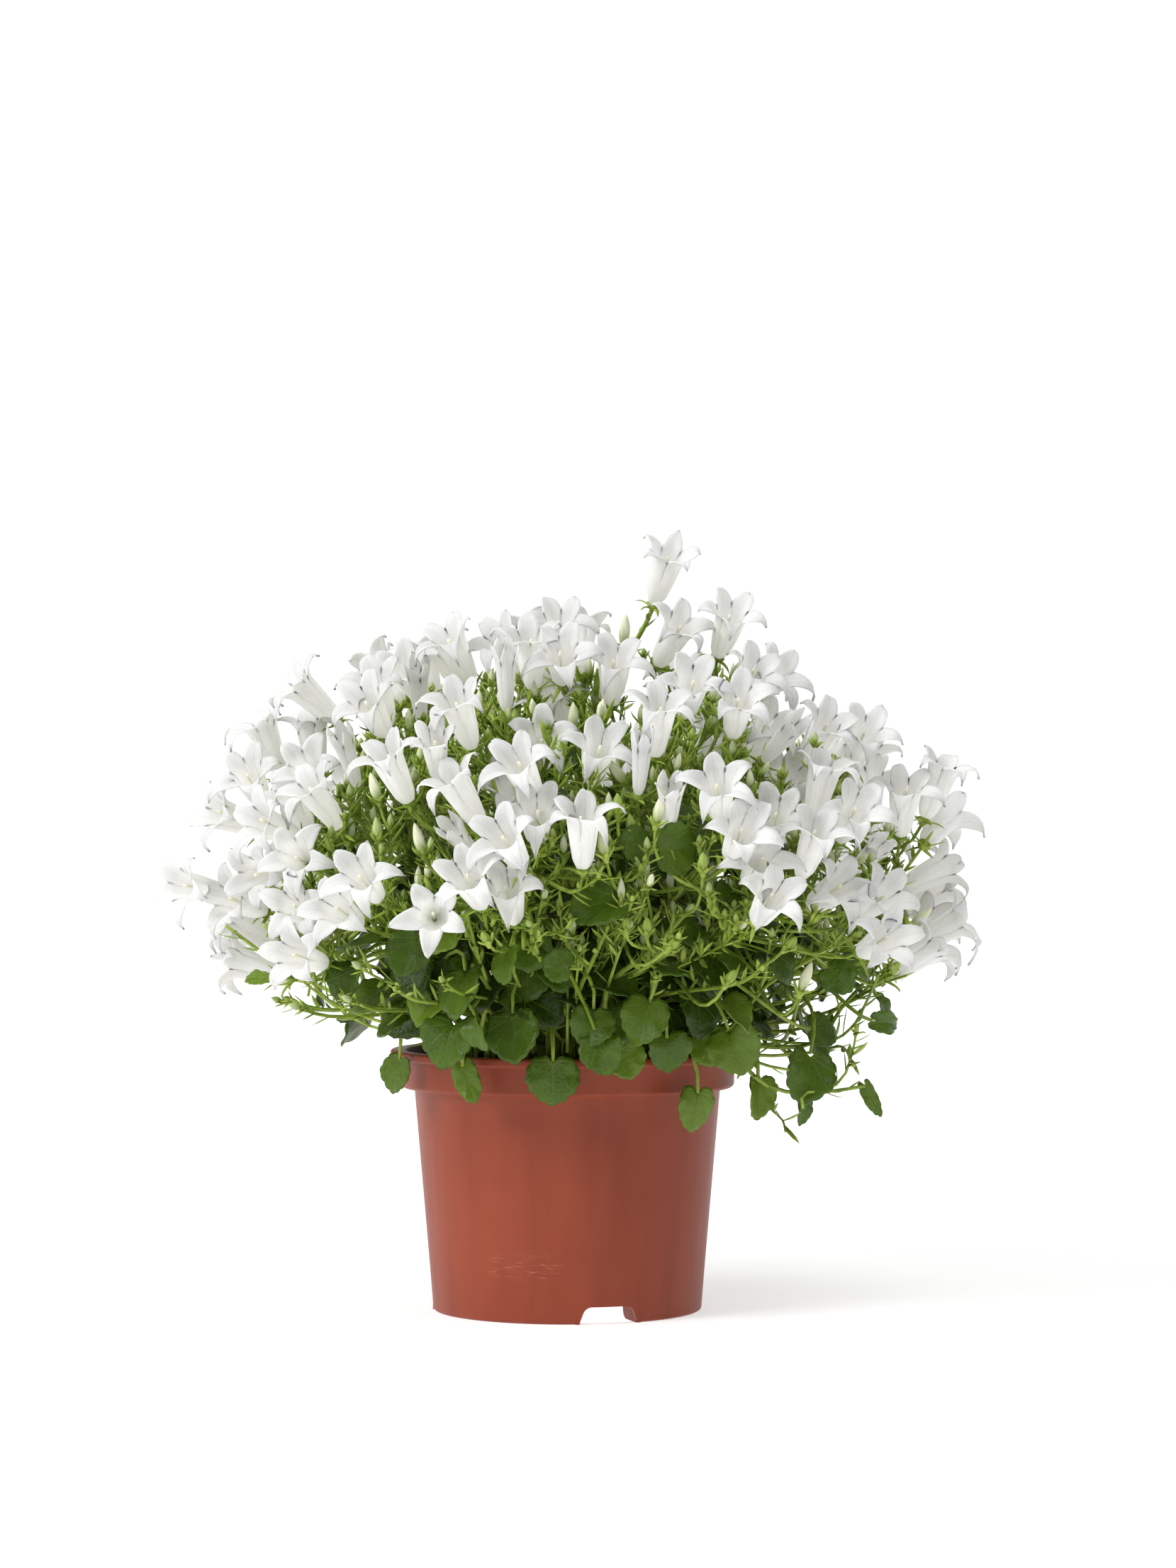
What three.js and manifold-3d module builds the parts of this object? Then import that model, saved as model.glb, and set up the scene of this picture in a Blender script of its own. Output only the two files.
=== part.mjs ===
// Potted dalmatian bellflower: a mound of white bells over round scalloped leaves,
// growing in a terracotta-coloured plastic pot.
// Millimetres, +Z up. The origin is on the pot's axis, at the level it stands on.
// The front of the plant looks towards -Y.

import * as THREE from 'three';
import { mergeVertices } from 'three/addons/utils/BufferGeometryUtils.js';
import Module from 'manifold-3d';

const wasm = await Module();
wasm.setup();

// Pot
const LIP_RADIUS = 60;
const LIP_TOP = 88.2;
const LIP_HEIGHT = 2.7;
const COLLAR_RADIUS = 56.6;
const COLLAR_BOTTOM = 75.4;
const BODY_TOP_RADIUS = 51.8;
const FOOT_RADIUS = 45.4;
const POT_WALL = 1.7;
const BASE_UNDERSIDE = 6.6;
const POT_SIDES = 24;
const NOTCH_COUNT = 3;
const NOTCH_FRONT_TURN = 18;
const NOTCH_WIDTH = 18.5;
const NOTCH_HEIGHT = 5.6;
const DRAIN_COUNT = 3;
const DRAIN_RADIUS = 4;
const DRAIN_CIRCLE = 27;

// Soil
const SOIL_TOP = 85;
const SOIL_CRUMB = 0.9;
const SOIL_SIDES = 14;
const CLEARANCE = 0.3;

// Mound of blooms: their bases lie on this shell round the plant
const MOUND_CENTRE = new THREE.Vector3(8, 0, 130);
const MOUND_HALF_WIDTH = 112;
const MOUND_HALF_DEPTH = 110;
const MOUND_HEIGHT = 95;
const MOUND_DROP = 150;

// The front is laid out as seen level from this far away and from this point of the view
const VIEW_DISTANCE = 1490;
const VIEW_X = 7;
const VIEW_Z = 178;

// Bloom
const TUBE_LENGTH = 17.3;
const MOUTH_RADIUS = 6.4;
const THROAT_RADIUS = 3.7;
const THROAT_HEIGHT = 2.7;
const HOLLOW_FLOOR = 4.5;
const NOTCH_DROP = 0.8;
const LOBE_HALF_WIDTH = 4.2;
const LOBE_ERECT = { reach: 6, shoulder: 23, tipReach: 4, tipHeight: 29 };
const LOBE_CURLED = { reach: 10.8, shoulder: 21.4, tipReach: 15.5, tipHeight: 20 };
const LEAST_CURL = 0.45;
const SHUT_GIRTH = 0.5;
const LOBES = 5;

// Calyx
const SEPAL_REACH = 7;
const SEPAL_TIP_LOW = 0.6;
const SEPAL_TIP_HIGH = 2.8;
const SEPAL_NOTCH_RADIUS = 1.8;
const SEPAL_NOTCH_HEIGHT = 2;
const CALYX_SETBACK = 1.8;

// Back of the mound
const BACK_BUNCHES = 10;
const BUNCH_BLOOMS = 3;
const BUNCH_RADIUS = 11;
const BELL_SPACING_MIN = 16.5;
const BELL_SPACING_MAX = 18;
const BELL_NUDGE = 2.5;
const NUDGE_ROUNDS = 4;

// Stems
const STEM_COUNT = 16;
const STEM_STEPS = 6;
const STEM_RADIUS = 1.15;
const STEM_COURSES = [0.8, 0.74, 0.68, 0.62, 0.55];
const STEM_TWISTS = [0, 7, -7, 14, -14];
const ROOT_RING_MAX = 36;
const ROOT_RING_MIN = 12;
const STALK_RADIUS = 0.75;
const LONG_STALK = 30;
const ROOT_DEPTH = 8;
const STEM_FOOT = 5;
const FOOTHOLD_STEP = 3.2;

// Leaf
const LEAF_TEETH = 7;
const TOOTH_CREST = 1.06;
const TOOTH_DIP = 0.93;
const HEART_DIP = 0.7;
const TIP_POINT = 1.12;
const MIDRIB_SHARE = 0.43;
const LEAF_CUP = 0.16;
const LEAF_THICKNESS = 0.9;
const SIDE_LEAVES = 11;

const UP = new THREE.Vector3(0, 0, 1);
const GOLDEN_TURN = 0.6180339887;
const SHORT_EDGES = [0.02, 0.1, 0.3, 0.3];

// Draws numbers from 0 to 1 in an order fixed by the seed
function seededRandom(seed) {
  let state = seed;
  return () => {
    state = (state + 0x6d2b79f5) | 0;
    let mixed = Math.imul(state ^ (state >>> 15), 1 | state);
    mixed = (mixed + Math.imul(mixed ^ (mixed >>> 7), 61 | mixed)) ^ mixed;
    return ((mixed ^ (mixed >>> 14)) >>> 0) / 4294967296;
  };
}

const mix = THREE.MathUtils.lerp;
const radians = THREE.MathUtils.degToRad;
const vector = (x, y, z) => new THREE.Vector3(x, y, z);

// Front blooms, in millimetres of the front view: where the tube starts (across, up),
// where its mouth is (across, up), how near the front of the mound it is (1 is the
// front, 0 the middle), and how far it is open where that is less than fully.
const FRONT_BLOOMS = [
  // left flank
  [-95, 181, -101, 197, 0.3], [-76, 194, -88, 205, 0.35], [-86, 184, -88, 201, 0],
  [-86, 175, -88, 182, 0.8], [-77, 163, -86, 176, 0.8], [-88, 162, -92, 174, 0.4],
  [-104, 163, -117, 168, 0.5], [-93, 157, -105, 163, 0.9], [-103, 171, -107, 181, 0.2],
  [-88, 147, -91, 150, 0.95], [-87, 130, -91, 134, 0.9], [-70, 131, -77, 136, 0.95],
  [-82, 118, -91, 121, 0.9], [-115, 141, -126, 143, 0.3], [-104, 135, -114, 140, 0.7],
  [-96, 150, -104, 148, 0.3],
  // left shoulder
  [-30, 212, -37, 226, 0.5], [-37, 205, -45, 220, 0.1], [-14, 214, -23, 226, 0.4],
  [-10, 209, -11, 225, 0.8], [-21, 202, -21, 218, 0.9, 0.3], [-52, 198, -53, 213, 0.4, 0.3],
  [-47, 207, -52, 217, 0], [-57, 198, -61, 212, 0.6], [-62, 193, -68, 204, 0.9],
  [-33, 188, -38, 203, 1], [-43, 178, -44, 190, 1, 0.6], [-55, 171, -62, 186, 1],
  [-72, 176, -76, 190, 0.7, 0.3],
  // centre left
  [-29, 163, -38, 178, 1], [-11, 174, -17, 186, 1], [-17, 164, -20, 175, 0.6],
  [-16, 149, -22, 159, 1], [-30, 151, -37, 160, 0.8, 0.3], [-64, 139, -69, 147, 1],
  [-27, 136, -32, 146, 1], [-18, 131, -20, 143, 0.9], [-45, 132, -45, 134, 1],
  [-8, 158, -8, 168, 0.9], [-7, 186, -7, 195, 0.7], [3, 186, -1, 199, 0.3],
  // crown
  [7, 220, 7, 235, 0.5], [-3, 213, -3, 222, 0.9],
  [30, 218, 37, 230, 0.1], [51, 221, 55, 234, 0.1], [21, 204, 22, 218, 0.7],
  [29, 186, 31, 202, 1], [42, 200, 44, 211, 0.95], [56, 194, 58, 206, 1],
  [54, 206, 62, 218, 0.4], [62, 205, 72, 214, 0], [61, 186, 67, 197, 0.2],
  [66, 186, 74, 196, 0.7, 0.3], [46, 186, 50, 197, 0.1],
  // centre right
  [4, 149, 4, 166, 1], [8, 178, 10, 190, 0.8], [24, 174, 25, 189, 0.95, 0.2],
  [36, 160, 37, 174, 0.9, 0.4], [51, 165, 50, 177, 1], [55, 153, 59, 162, 1],
  [68, 157, 68, 168, 0.75], [71, 159, 79, 167, 0.4], [70, 168, 74, 179, 0.1],
  [61, 145, 65, 153, 0.85], [64, 131, 69, 140, 1], [79, 146, 84, 161, 1],
  [83, 136, 92, 143, 0.8], [84, 152, 88, 164, 0.3],
  // right flank
  [82, 185, 89, 197, 0.2], [96, 184, 100, 195, 0], [83, 165, 87, 182, 0.9],
  [93, 158, 98, 168, 0.95], [113, 160, 114, 175, 0.2], [121, 166, 127, 182, 0.3],
  [121, 158, 129, 167, -0.3], [112, 142, 127, 149, -0.3], [116, 122, 125, 130, -0.3],
  [97, 130, 106, 138, 0.9], [99, 123, 107, 128, 1], [100, 150, 106, 161, -0.2],
  [98, 148, 104, 155, 0.3, 0.3], [103, 166, 103, 178, -0.1],
];

// The one bloom that stands above the mound, laid out in the same way
const TOP_BLOOM = [29, 238, 33, 254, 0];

// Front buds in the same view: foot (across, up), tip (across, up), nearness to the front
const FRONT_BUDS = [
  [-64, 172, -67, 182, 0.95], [-64, 159, -65, 167, 1], [-51, 175, -51, 182, 0.9],
  [-49, 154, -52, 165, 1], [-27, 124, -29, 128, 0.9], [-17, 197, -18, 204, 0.8],
  [19, 224, 20, 236, 0.6], [2, 196, 2, 206, 0.8], [10, 203, 10, 214, 0.6],
  [12, 197, 12, 204, 0.8], [17, 168, 17, 175, 1], [8, 169, 8, 176, 1],
  [30, 164, 33, 176, 1], [13, 153, 11, 162, 1], [22, 161, 21, 168, 0.9],
  [20, 128, 20, 133, 0.9], [27, 127, 27, 133, 0.9], [35, 182, 39, 191, 0.8],
  [20, 178, 14, 186, 0.9], [48, 196, 53, 203, 0.8], [46, 148, 46, 155, 1],
  [56, 182, 62, 187, 0.9], [79, 107, 83, 118, 0.85], [74, 122, 78, 126, 0.9],
  [34, 122, 38, 126, 0.9], [116, 129, 124, 136, 0.2], [54, 110, 57, 115, 0.9],
  [109, 113, 113, 118, 0.3],
];

// Front leaves in the same view: middle (across, up), where the tip points in degrees
// from the right, width, and how far from the pot's axis the leaf hangs
const FRONT_LEAVES = [
  [-70, 124, 200, 17, 92], [-54, 121, 250, 17, 94], [-43, 126, 230, 15, 96],
  [-37, 108, 262, 20, 86], [-48, 103, 240, 16, 80], [-41, 90, 265, 20, 80],
  [-19, 93, 275, 19, 74], [-30, 94, 285, 15, 88], [-22, 118, 250, 15, 92],
  [12, 138, 190, 18, 98], [38, 156, 5, 18, 100], [24, 158, 20, 12, 98],
  [36, 115, -10, 14, 92], [-4, 117, 160, 12, 92], [27, 104, 250, 20, 82],
  [8, 97, 262, 18, 76], [-5, 96, 240, 20, 84], [55, 118, 130, 16, 90],
  [57, 100, 300, 18, 84], [79, 79, 300, 24, 84], [106, 98, -5, 17, 108],
  [108, 105, -50, 17, 110], [87, 95, 0, 15, 92], [100, 117, -70, 14, 106],
  [92, 112, -60, 13, 100], [57, 87, 280, 20, 80], [-68, 106, 205, 15, 88],
  [-60, 97, 215, 17, 78],
];

// A closed body under construction: points and outward triangles
class Body {
  constructor() {
    this.points = [];
    this.triangles = [];
  }

  point(position) {
    return this.points.push(position) - 1;
  }

  ring(positions) {
    return positions.map((position) => this.point(position));
  }

  triangle(a, b, c) {
    this.triangles.push(a, b, c);
  }

  // Joins two rings that both run anticlockwise about the direction from lower to upper
  band(lower, upper) {
    let i = 0;
    let j = 0;
    while (i < lower.length || j < upper.length) {
      const a = lower[i % lower.length];
      const b = upper[j % upper.length];
      const lowerNext = lower.length > 1 && (i + 1) / lower.length <= (j + 1) / upper.length;
      if (lowerNext || upper.length === 1) {
        this.triangle(a, lower[(i + 1) % lower.length], b);
        i += 1;
      } else {
        this.triangle(a, upper[(j + 1) % upper.length], b);
        j += 1;
      }
      if (lower.length === 1 && j === upper.length) break;
      if (upper.length === 1 && i === lower.length) break;
    }
  }

  // Closes a three-sided ring at the start of a tube
  startCap(ring) {
    this.triangle(ring[0], ring[2], ring[1]);
  }

  solid() {
    const vertProperties = new Float32Array(this.points.flatMap((p) => [p.x, p.y, p.z]));
    const triVerts = new Uint32Array(this.triangles);
    return new wasm.Manifold(new wasm.Mesh({ numProp: 3, vertProperties, triVerts }));
  }
}

function solidFromGeometry(geometry) {
  const bare = geometry.clone();
  bare.deleteAttribute('normal');
  bare.deleteAttribute('uv');
  const merged = mergeVertices(bare, 1e-4);
  return new wasm.Manifold(new wasm.Mesh({
    numProp: 3,
    vertProperties: new Float32Array(merged.attributes.position.array),
    triVerts: new Uint32Array(merged.index.array),
  }));
}

function geometryFromSolid(solid) {
  const { vertProperties, triVerts, numProp } = solid.getMesh();
  const positions = [];
  for (let i = 0; i < vertProperties.length; i += numProp) {
    positions.push(vertProperties[i], vertProperties[i + 1], vertProperties[i + 2]);
  }
  const geometry = new THREE.BufferGeometry();
  geometry.setAttribute('position', new THREE.Float32BufferAttribute(positions, 3));
  geometry.setIndex(Array.from(triVerts));
  geometry.computeVertexNormals();
  return geometry;
}

function boxOf(solid) {
  const { min, max } = solid.boundingBox();
  return new THREE.Box3(vector(...min), vector(...max));
}

// True where a solid cuts into any of the others
function crosses(solid, box, others) {
  return others.some((other) => {
    if (!box.intersectsBox(other.box)) return false;
    return solid.intersect(other.solid).volume() > 0;
  });
}

// A frame whose third axis lies along a direction, turned about it by an angle
function frameAlong(axis, spin = 0) {
  const side = Math.abs(axis.z) > 0.9 ? vector(1, 0, 0) : vector(0, 0, 1);
  const x = side.clone().cross(axis).normalize().applyAxisAngle(axis, spin);
  const y = axis.clone().cross(x);
  return { x, y, z: axis };
}

function place(origin, frame, x, y, z) {
  return origin.clone()
    .addScaledVector(frame.x, x)
    .addScaledVector(frame.y, y)
    .addScaledVector(frame.z, z);
}

// A regular ring across a frame
function ringAt(origin, frame, count, radius, height = 0) {
  return Array.from({ length: count }, (_, k) => {
    const angle = (2 * Math.PI * k) / count;
    return place(origin, frame, radius * Math.cos(angle), radius * Math.sin(angle), height);
  });
}

// Carries a frame along a curve without twisting it
function framesAlong(curve, steps) {
  const frames = [];
  let previous = null;
  for (let i = 0; i <= steps; i += 1) {
    const tangent = curve.getTangent(i / steps).normalize();
    if (!previous) {
      previous = frameAlong(tangent);
    } else {
      const x = previous.x.clone().addScaledVector(tangent, -previous.x.dot(tangent)).normalize();
      previous = { x, y: tangent.clone().cross(x), z: tangent };
    }
    frames.push({ origin: curve.getPoint(i / steps), frame: previous });
  }
  return frames;
}

// Front view to space: what lies at a depth y looks larger or smaller about the view's centre
function fromView(across, up, y) {
  const scale = 1 + y / VIEW_DISTANCE;
  return vector(VIEW_X + (across - VIEW_X) * scale, y, VIEW_Z + (up - VIEW_Z) * scale);
}

function moundHeight(z) {
  return z > MOUND_CENTRE.z ? MOUND_HEIGHT : MOUND_DROP;
}

function moundDepth(across, up) {
  const x = (across - MOUND_CENTRE.x) / MOUND_HALF_WIDTH;
  const z = (up - MOUND_CENTRE.z) / moundHeight(up);
  return MOUND_HALF_DEPTH * Math.sqrt(Math.max(0, 1 - x * x - z * z));
}

function moundPoint(azimuth, rise, share = 1) {
  const height = Math.sin(rise) > 0 ? MOUND_HEIGHT : MOUND_DROP;
  return vector(
    MOUND_CENTRE.x + share * MOUND_HALF_WIDTH * Math.cos(rise) * Math.cos(azimuth),
    share * MOUND_HALF_DEPTH * Math.cos(rise) * Math.sin(azimuth),
    MOUND_CENTRE.z + share * height * Math.sin(rise),
  );
}

function moundNormal(point) {
  return vector(
    (point.x - MOUND_CENTRE.x) / MOUND_HALF_WIDTH ** 2,
    point.y / MOUND_HALF_DEPTH ** 2,
    (point.z - MOUND_CENTRE.z) / moundHeight(point.z) ** 2,
  ).normalize();
}

// Where each bloom starts, which way it faces, and how it is open
function layOutBlooms() {
  const random = seededRandom(41);
  const blooms = [TOP_BLOOM, ...FRONT_BLOOMS].map((entry) => {
    const [across, up, mouthAcross, mouthUp, nearness, open = 1] = entry;
    const y = -moundDepth(across, up) * nearness;
    const base = fromView(across, up, y);
    const scale = 1 + y / VIEW_DISTANCE;
    const slant = vector((mouthAcross - across) * scale, 0, (mouthUp - up) * scale);
    slant.clampLength(0, TUBE_LENGTH * 0.98);
    slant.y = -Math.sqrt(TUBE_LENGTH ** 2 - slant.lengthSq()) * (nearness < 0 ? -1 : 1);
    return { base, axis: slant.normalize(), open };
  });
  for (let i = 0; i < BACK_BUNCHES; i += 1) {
    const azimuth = radians(mix(14, 166, (i * GOLDEN_TURN) % 1));
    const rise = Math.asin(mix(-0.1, 0.95, (i + 0.5) / BACK_BUNCHES));
    const middle = moundPoint(azimuth, rise, 0.98);
    const outward = moundNormal(middle);
    const frame = frameAlong(outward, random() * 2 * Math.PI);
    ringAt(middle, frame, BUNCH_BLOOMS, BUNCH_RADIUS).forEach((base) => {
      const lean = vector(random() - 0.5, random() - 0.5, mix(0.2, 0.7, random()));
      blooms.push({ base, axis: outward.clone().add(lean).normalize(), open: 1 });
    });
  }
  crowd(blooms);
  return blooms;
}

function bellMiddle({ base, axis }) {
  return base.clone().addScaledVector(axis, TUBE_LENGTH + 2);
}

function nearestBell(blooms, bloom) {
  const middle = bellMiddle(bloom);
  let way = null;
  blooms.forEach((other) => {
    if (other === bloom) return;
    const there = bellMiddle(other).sub(middle);
    if (!way || there.length() < way.length()) way = there;
  });
  return way;
}

// Neighbours below the top bloom crowd until their lobes just touch, and every bloom
// turns a lobe to its nearest neighbour
function crowd(blooms) {
  for (let round = 0; round < NUDGE_ROUNDS; round += 1) {
    blooms.slice(1).forEach((bloom) => {
      const way = nearestBell(blooms, bloom);
      const gap = way.length();
      const wanted = Math.max(gap - BELL_SPACING_MAX, 0) + Math.min(gap - BELL_SPACING_MIN, 0);
      const step = THREE.MathUtils.clamp(wanted, -BELL_NUDGE, BELL_NUDGE);
      bloom.base.addScaledVector(way.normalize(), step);
    });
  }
  blooms.forEach((bloom) => {
    const way = nearestBell(blooms, bloom);
    const { x, y } = frameAlong(bloom.axis);
    bloom.spin = Math.atan2(way.dot(y), way.dot(x));
  });
}

// A bell: a tube with a hollow throat and five spreading, recurved lobes
function bloomSolid({ base, axis, open, spin }, random) {
  const frame = frameAlong(axis, spin);
  const girth = mix(SHUT_GIRTH, 1, open);
  const body = new Body();
  const at = (radius, angle, height) => place(
    base, frame, radius * Math.cos(angle), radius * Math.sin(angle), height,
  );
  const fifth = (2 * Math.PI) / LOBES;
  const foot = [body.point(at(0, 0, CLEARANCE))];
  const throat = [];
  const mouth = [];
  const lobes = [];
  for (let k = 0; k < LOBES; k += 1) {
    const angle = k * fifth;
    const curl = mix(LEAST_CURL, 1, random()) * open;
    const curled = (part) => mix(LOBE_ERECT[part], LOBE_CURLED[part], curl);
    throat.push(body.point(at(THROAT_RADIUS * girth, angle, THROAT_HEIGHT)));
    mouth.push(body.point(at(MOUTH_RADIUS * girth, angle, TUBE_LENGTH)));
    const notchHeight = TUBE_LENGTH - NOTCH_DROP;
    mouth.push(body.point(at(MOUTH_RADIUS * girth, angle + fifth / 2, notchHeight)));
    const spread = Math.atan2(LOBE_HALF_WIDTH, curled('reach'));
    const across = Math.hypot(LOBE_HALF_WIDTH, curled('reach')) * girth;
    lobes.push({
      left: body.point(at(across, angle - spread, curled('shoulder'))),
      right: body.point(at(across, angle + spread, curled('shoulder'))),
      tip: body.point(at(curled('tipReach'), angle, curled('tipHeight'))),
    });
  }
  const hollow = body.point(at(0, 0, HOLLOW_FLOOR));
  body.band(foot, throat);
  body.band(throat, mouth);
  lobes.forEach(({ left, right, tip }, k) => {
    const middle = mouth[2 * k];
    const notchRight = mouth[2 * k + 1];
    const notchLeft = mouth[(2 * k + 2 * LOBES - 1) % (2 * LOBES)];
    body.triangle(middle, notchRight, right);
    body.triangle(middle, right, tip);
    body.triangle(middle, tip, left);
    body.triangle(middle, left, notchLeft);
    body.triangle(tip, right, left);
    body.triangle(left, right, notchRight);
    body.triangle(left, notchRight, notchLeft);
    body.triangle(notchLeft, notchRight, hollow);
  });
  return body.solid();
}

// A three-sided stalk along a curve; its last ring is returned to carry a calyx or a bud
function addStalk(body, curve, radius) {
  const steps = curve.v0.distanceTo(curve.v3) > LONG_STALK ? 2 : 1;
  let ring = null;
  let end = null;
  framesAlong(curve, steps).forEach(({ origin, frame }) => {
    const next = body.ring(ringAt(origin, frame, 3, radius));
    if (ring) {
      body.band(ring, next);
    } else {
      body.startCap(next);
    }
    ring = next;
    end = { origin, frame };
  });
  return { ring, ...end };
}

// A green star of five pointed sepals on its stalk
function calyxSolid(curve, reach, random) {
  const body = new Body();
  const { ring, origin, frame } = addStalk(body, curve, STALK_RADIUS);
  const star = [];
  for (let k = 0; k < 2 * LOBES; k += 1) {
    const angle = (Math.PI * k) / LOBES;
    const tip = k % 2 === 0;
    const radius = tip ? reach : SEPAL_NOTCH_RADIUS;
    const height = tip ? mix(SEPAL_TIP_LOW, SEPAL_TIP_HIGH, random()) : SEPAL_NOTCH_HEIGHT;
    star.push(place(origin, frame, radius * Math.cos(angle), radius * Math.sin(angle), height));
  }
  const rim = body.ring(star);
  body.band(ring, rim);
  const notches = [rim[1], rim[3], rim[5], rim[7], rim[9]];
  notches.forEach((notch, k) => body.triangle(rim[2 * k], notch, notches[(k + 4) % 5]));
  body.triangle(notches[0], notches[1], notches[2]);
  body.triangle(notches[0], notches[2], notches[3]);
  body.triangle(notches[0], notches[3], notches[4]);
  return body.solid();
}

// A plump five-sided bud on its stalk
function budSolid(curve, length, radius) {
  const body = new Body();
  const { ring, origin, frame } = addStalk(body, curve, STALK_RADIUS * 0.9);
  const belly = body.ring(ringAt(origin, frame, 5, radius, length * 0.45));
  const tip = body.point(place(origin, frame, 0, 0, length));
  body.band(ring, belly);
  body.band(belly, [tip]);
  return body.solid();
}

// A round, heart-based blade with scalloped edge, cupped, on its stalk
function leafSolid(curve, { width, length, normal, tipWay }) {
  const stalkBody = new Body();
  const stalk = addStalk(stalkBody, curve, STALK_RADIUS * 0.9);
  const frame = { x: tipWay, y: normal.clone().cross(tipWay), z: normal };
  const midrib = place(stalk.origin, frame, length * MIDRIB_SHARE, 0, 0);
  stalkBody.band(stalk.ring, [stalkBody.point(midrib)]);
  const body = new Body();
  const outline = [];
  const count = 2 * LEAF_TEETH;
  for (let k = 0; k < count; k += 1) {
    const angle = (2 * Math.PI * k) / count;
    const towardTip = Math.cos(angle);
    const tooth = k % 2 === 0 ? TOOTH_CREST : TOOTH_DIP;
    const heart = k === count / 2 ? HEART_DIP : 1;
    const point = k === 0 ? TIP_POINT : 1;
    const along = length * 0.5 * towardTip * tooth * heart * point + length * 0.5 - 1;
    const aside = width * 0.5 * Math.sin(angle) * tooth * (1 - 0.12 * towardTip);
    const lift = width * LEAF_CUP * Math.sin(angle) ** 2 - length * 0.1 * Math.max(0, towardTip);
    outline.push(place(stalk.origin, frame, along, aside, lift));
  }
  const rim = body.ring(outline);
  const under = body.point(place(stalk.origin, frame, length * 0.45, 0, -LEAF_THICKNESS / 2));
  const over = body.point(place(stalk.origin, frame, length * 0.45, 0, LEAF_THICKNESS / 2));
  body.band([under], rim);
  body.band(rim, [over]);
  return stalkBody.solid().add(body.solid());
}

// The course of a stem: straight up out of the soil, then arching out to its head
function stemCurve(azimuth, rise, share) {
  const head = moundPoint(azimuth, rise, share);
  const rootRadius = mix(ROOT_RING_MAX, ROOT_RING_MIN, Math.max(0, Math.sin(rise)));
  const root = vector(Math.cos(azimuth), Math.sin(azimuth), 0).multiplyScalar(rootRadius);
  root.z = SOIL_TOP + STEM_FOOT;
  const reach = head.distanceTo(root);
  const outward = moundNormal(head).addScaledVector(UP, 0.7).normalize();
  return new THREE.CubicBezierCurve3(
    root,
    root.clone().addScaledVector(UP, reach * 0.35),
    head.clone().addScaledVector(outward, -reach * 0.3),
    head,
  );
}

// A four-sided stem, sunk into its hole in the soil
function stemSolid(curve) {
  const body = new Body();
  const frames = framesAlong(curve, STEM_STEPS);
  const foot = frames[0];
  const sunk = foot.origin.clone().addScaledVector(UP, -STEM_FOOT - ROOT_DEPTH);
  let ring = body.ring(ringAt(sunk, foot.frame, 4, STEM_RADIUS));
  body.triangle(ring[0], ring[2], ring[1]);
  body.triangle(ring[0], ring[3], ring[2]);
  frames.forEach(({ origin, frame }, i) => {
    const next = body.ring(ringAt(origin, frame, 4, mix(STEM_RADIUS, STALK_RADIUS, i / STEM_STEPS)));
    body.band(ring, next);
    ring = next;
  });
  const last = frames[STEM_STEPS];
  body.band(ring, [body.point(place(last.origin, last.frame, 0, 0, 1.5))]);
  return body.solid();
}

// Each stem takes the first course that is clear of the blooms and the other stems
function growStems(blooms, pot) {
  const stems = [];
  const obstacles = [...blooms, pot];
  for (let k = 0; k < STEM_COUNT; k += 1) {
    const turn = (k * GOLDEN_TURN) % 1;
    const level = Math.asin(mix(-0.08, 0.93, (k + 0.5) / STEM_COUNT));
    let chosen = null;
    for (const share of STEM_COURSES) {
      for (const twist of STEM_TWISTS) {
        if (chosen) break;
        const curve = stemCurve(2 * Math.PI * turn + radians(twist), level, share);
        const solid = stemSolid(curve);
        const box = boxOf(solid);
        const taken = stems.map((stem) => stem.parts[0]);
        if (!crosses(solid, box, obstacles) && !crosses(solid, box, taken)) {
          chosen = { curve, parts: [{ solid, box }] };
        }
      }
    }
    if (chosen) stems.push({ ...chosen, footholds: footholdsOf(chosen.curve) });
  }
  return stems;
}

// Places along a stem from which one stalk each can grow
function footholdsOf(curve) {
  const count = Math.round(curve.getLength() / FOOTHOLD_STEP);
  return Array.from({ length: count }, (_, k) => {
    const t = mix(0.1, 0.985, k / (count - 1));
    return { from: curve.getPoint(t), tangent: curve.getTangent(t).normalize(), taken: false };
  });
}

// The places on all the stems from which a stalk can reach a point, the best first
function waysTo(stems, end) {
  const list = [];
  stems.forEach((stem) => {
    stem.footholds.forEach((foothold) => {
      const way = end.clone().sub(foothold.from);
      const gap = way.length();
      const along = way.dot(foothold.tangent) / gap;
      const cost = gap + 30 * Math.max(0, 0.4 - along);
      if (gap > 7 && !foothold.taken) list.push({ stem, foothold, cost });
    });
  });
  return list.sort((a, b) => a.cost - b.cost);
}

function stalkCurve({ from, tangent }, end, arrival, bow) {
  const way = end.clone().sub(from);
  const gap = way.length();
  const start = way.clone().divideScalar(gap).addScaledVector(tangent, 0.5).normalize();
  return new THREE.CubicBezierCurve3(
    from,
    from.clone().addScaledVector(start, gap * 0.35),
    end.clone().addScaledVector(arrival, -gap * bow),
    end,
  );
}

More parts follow.
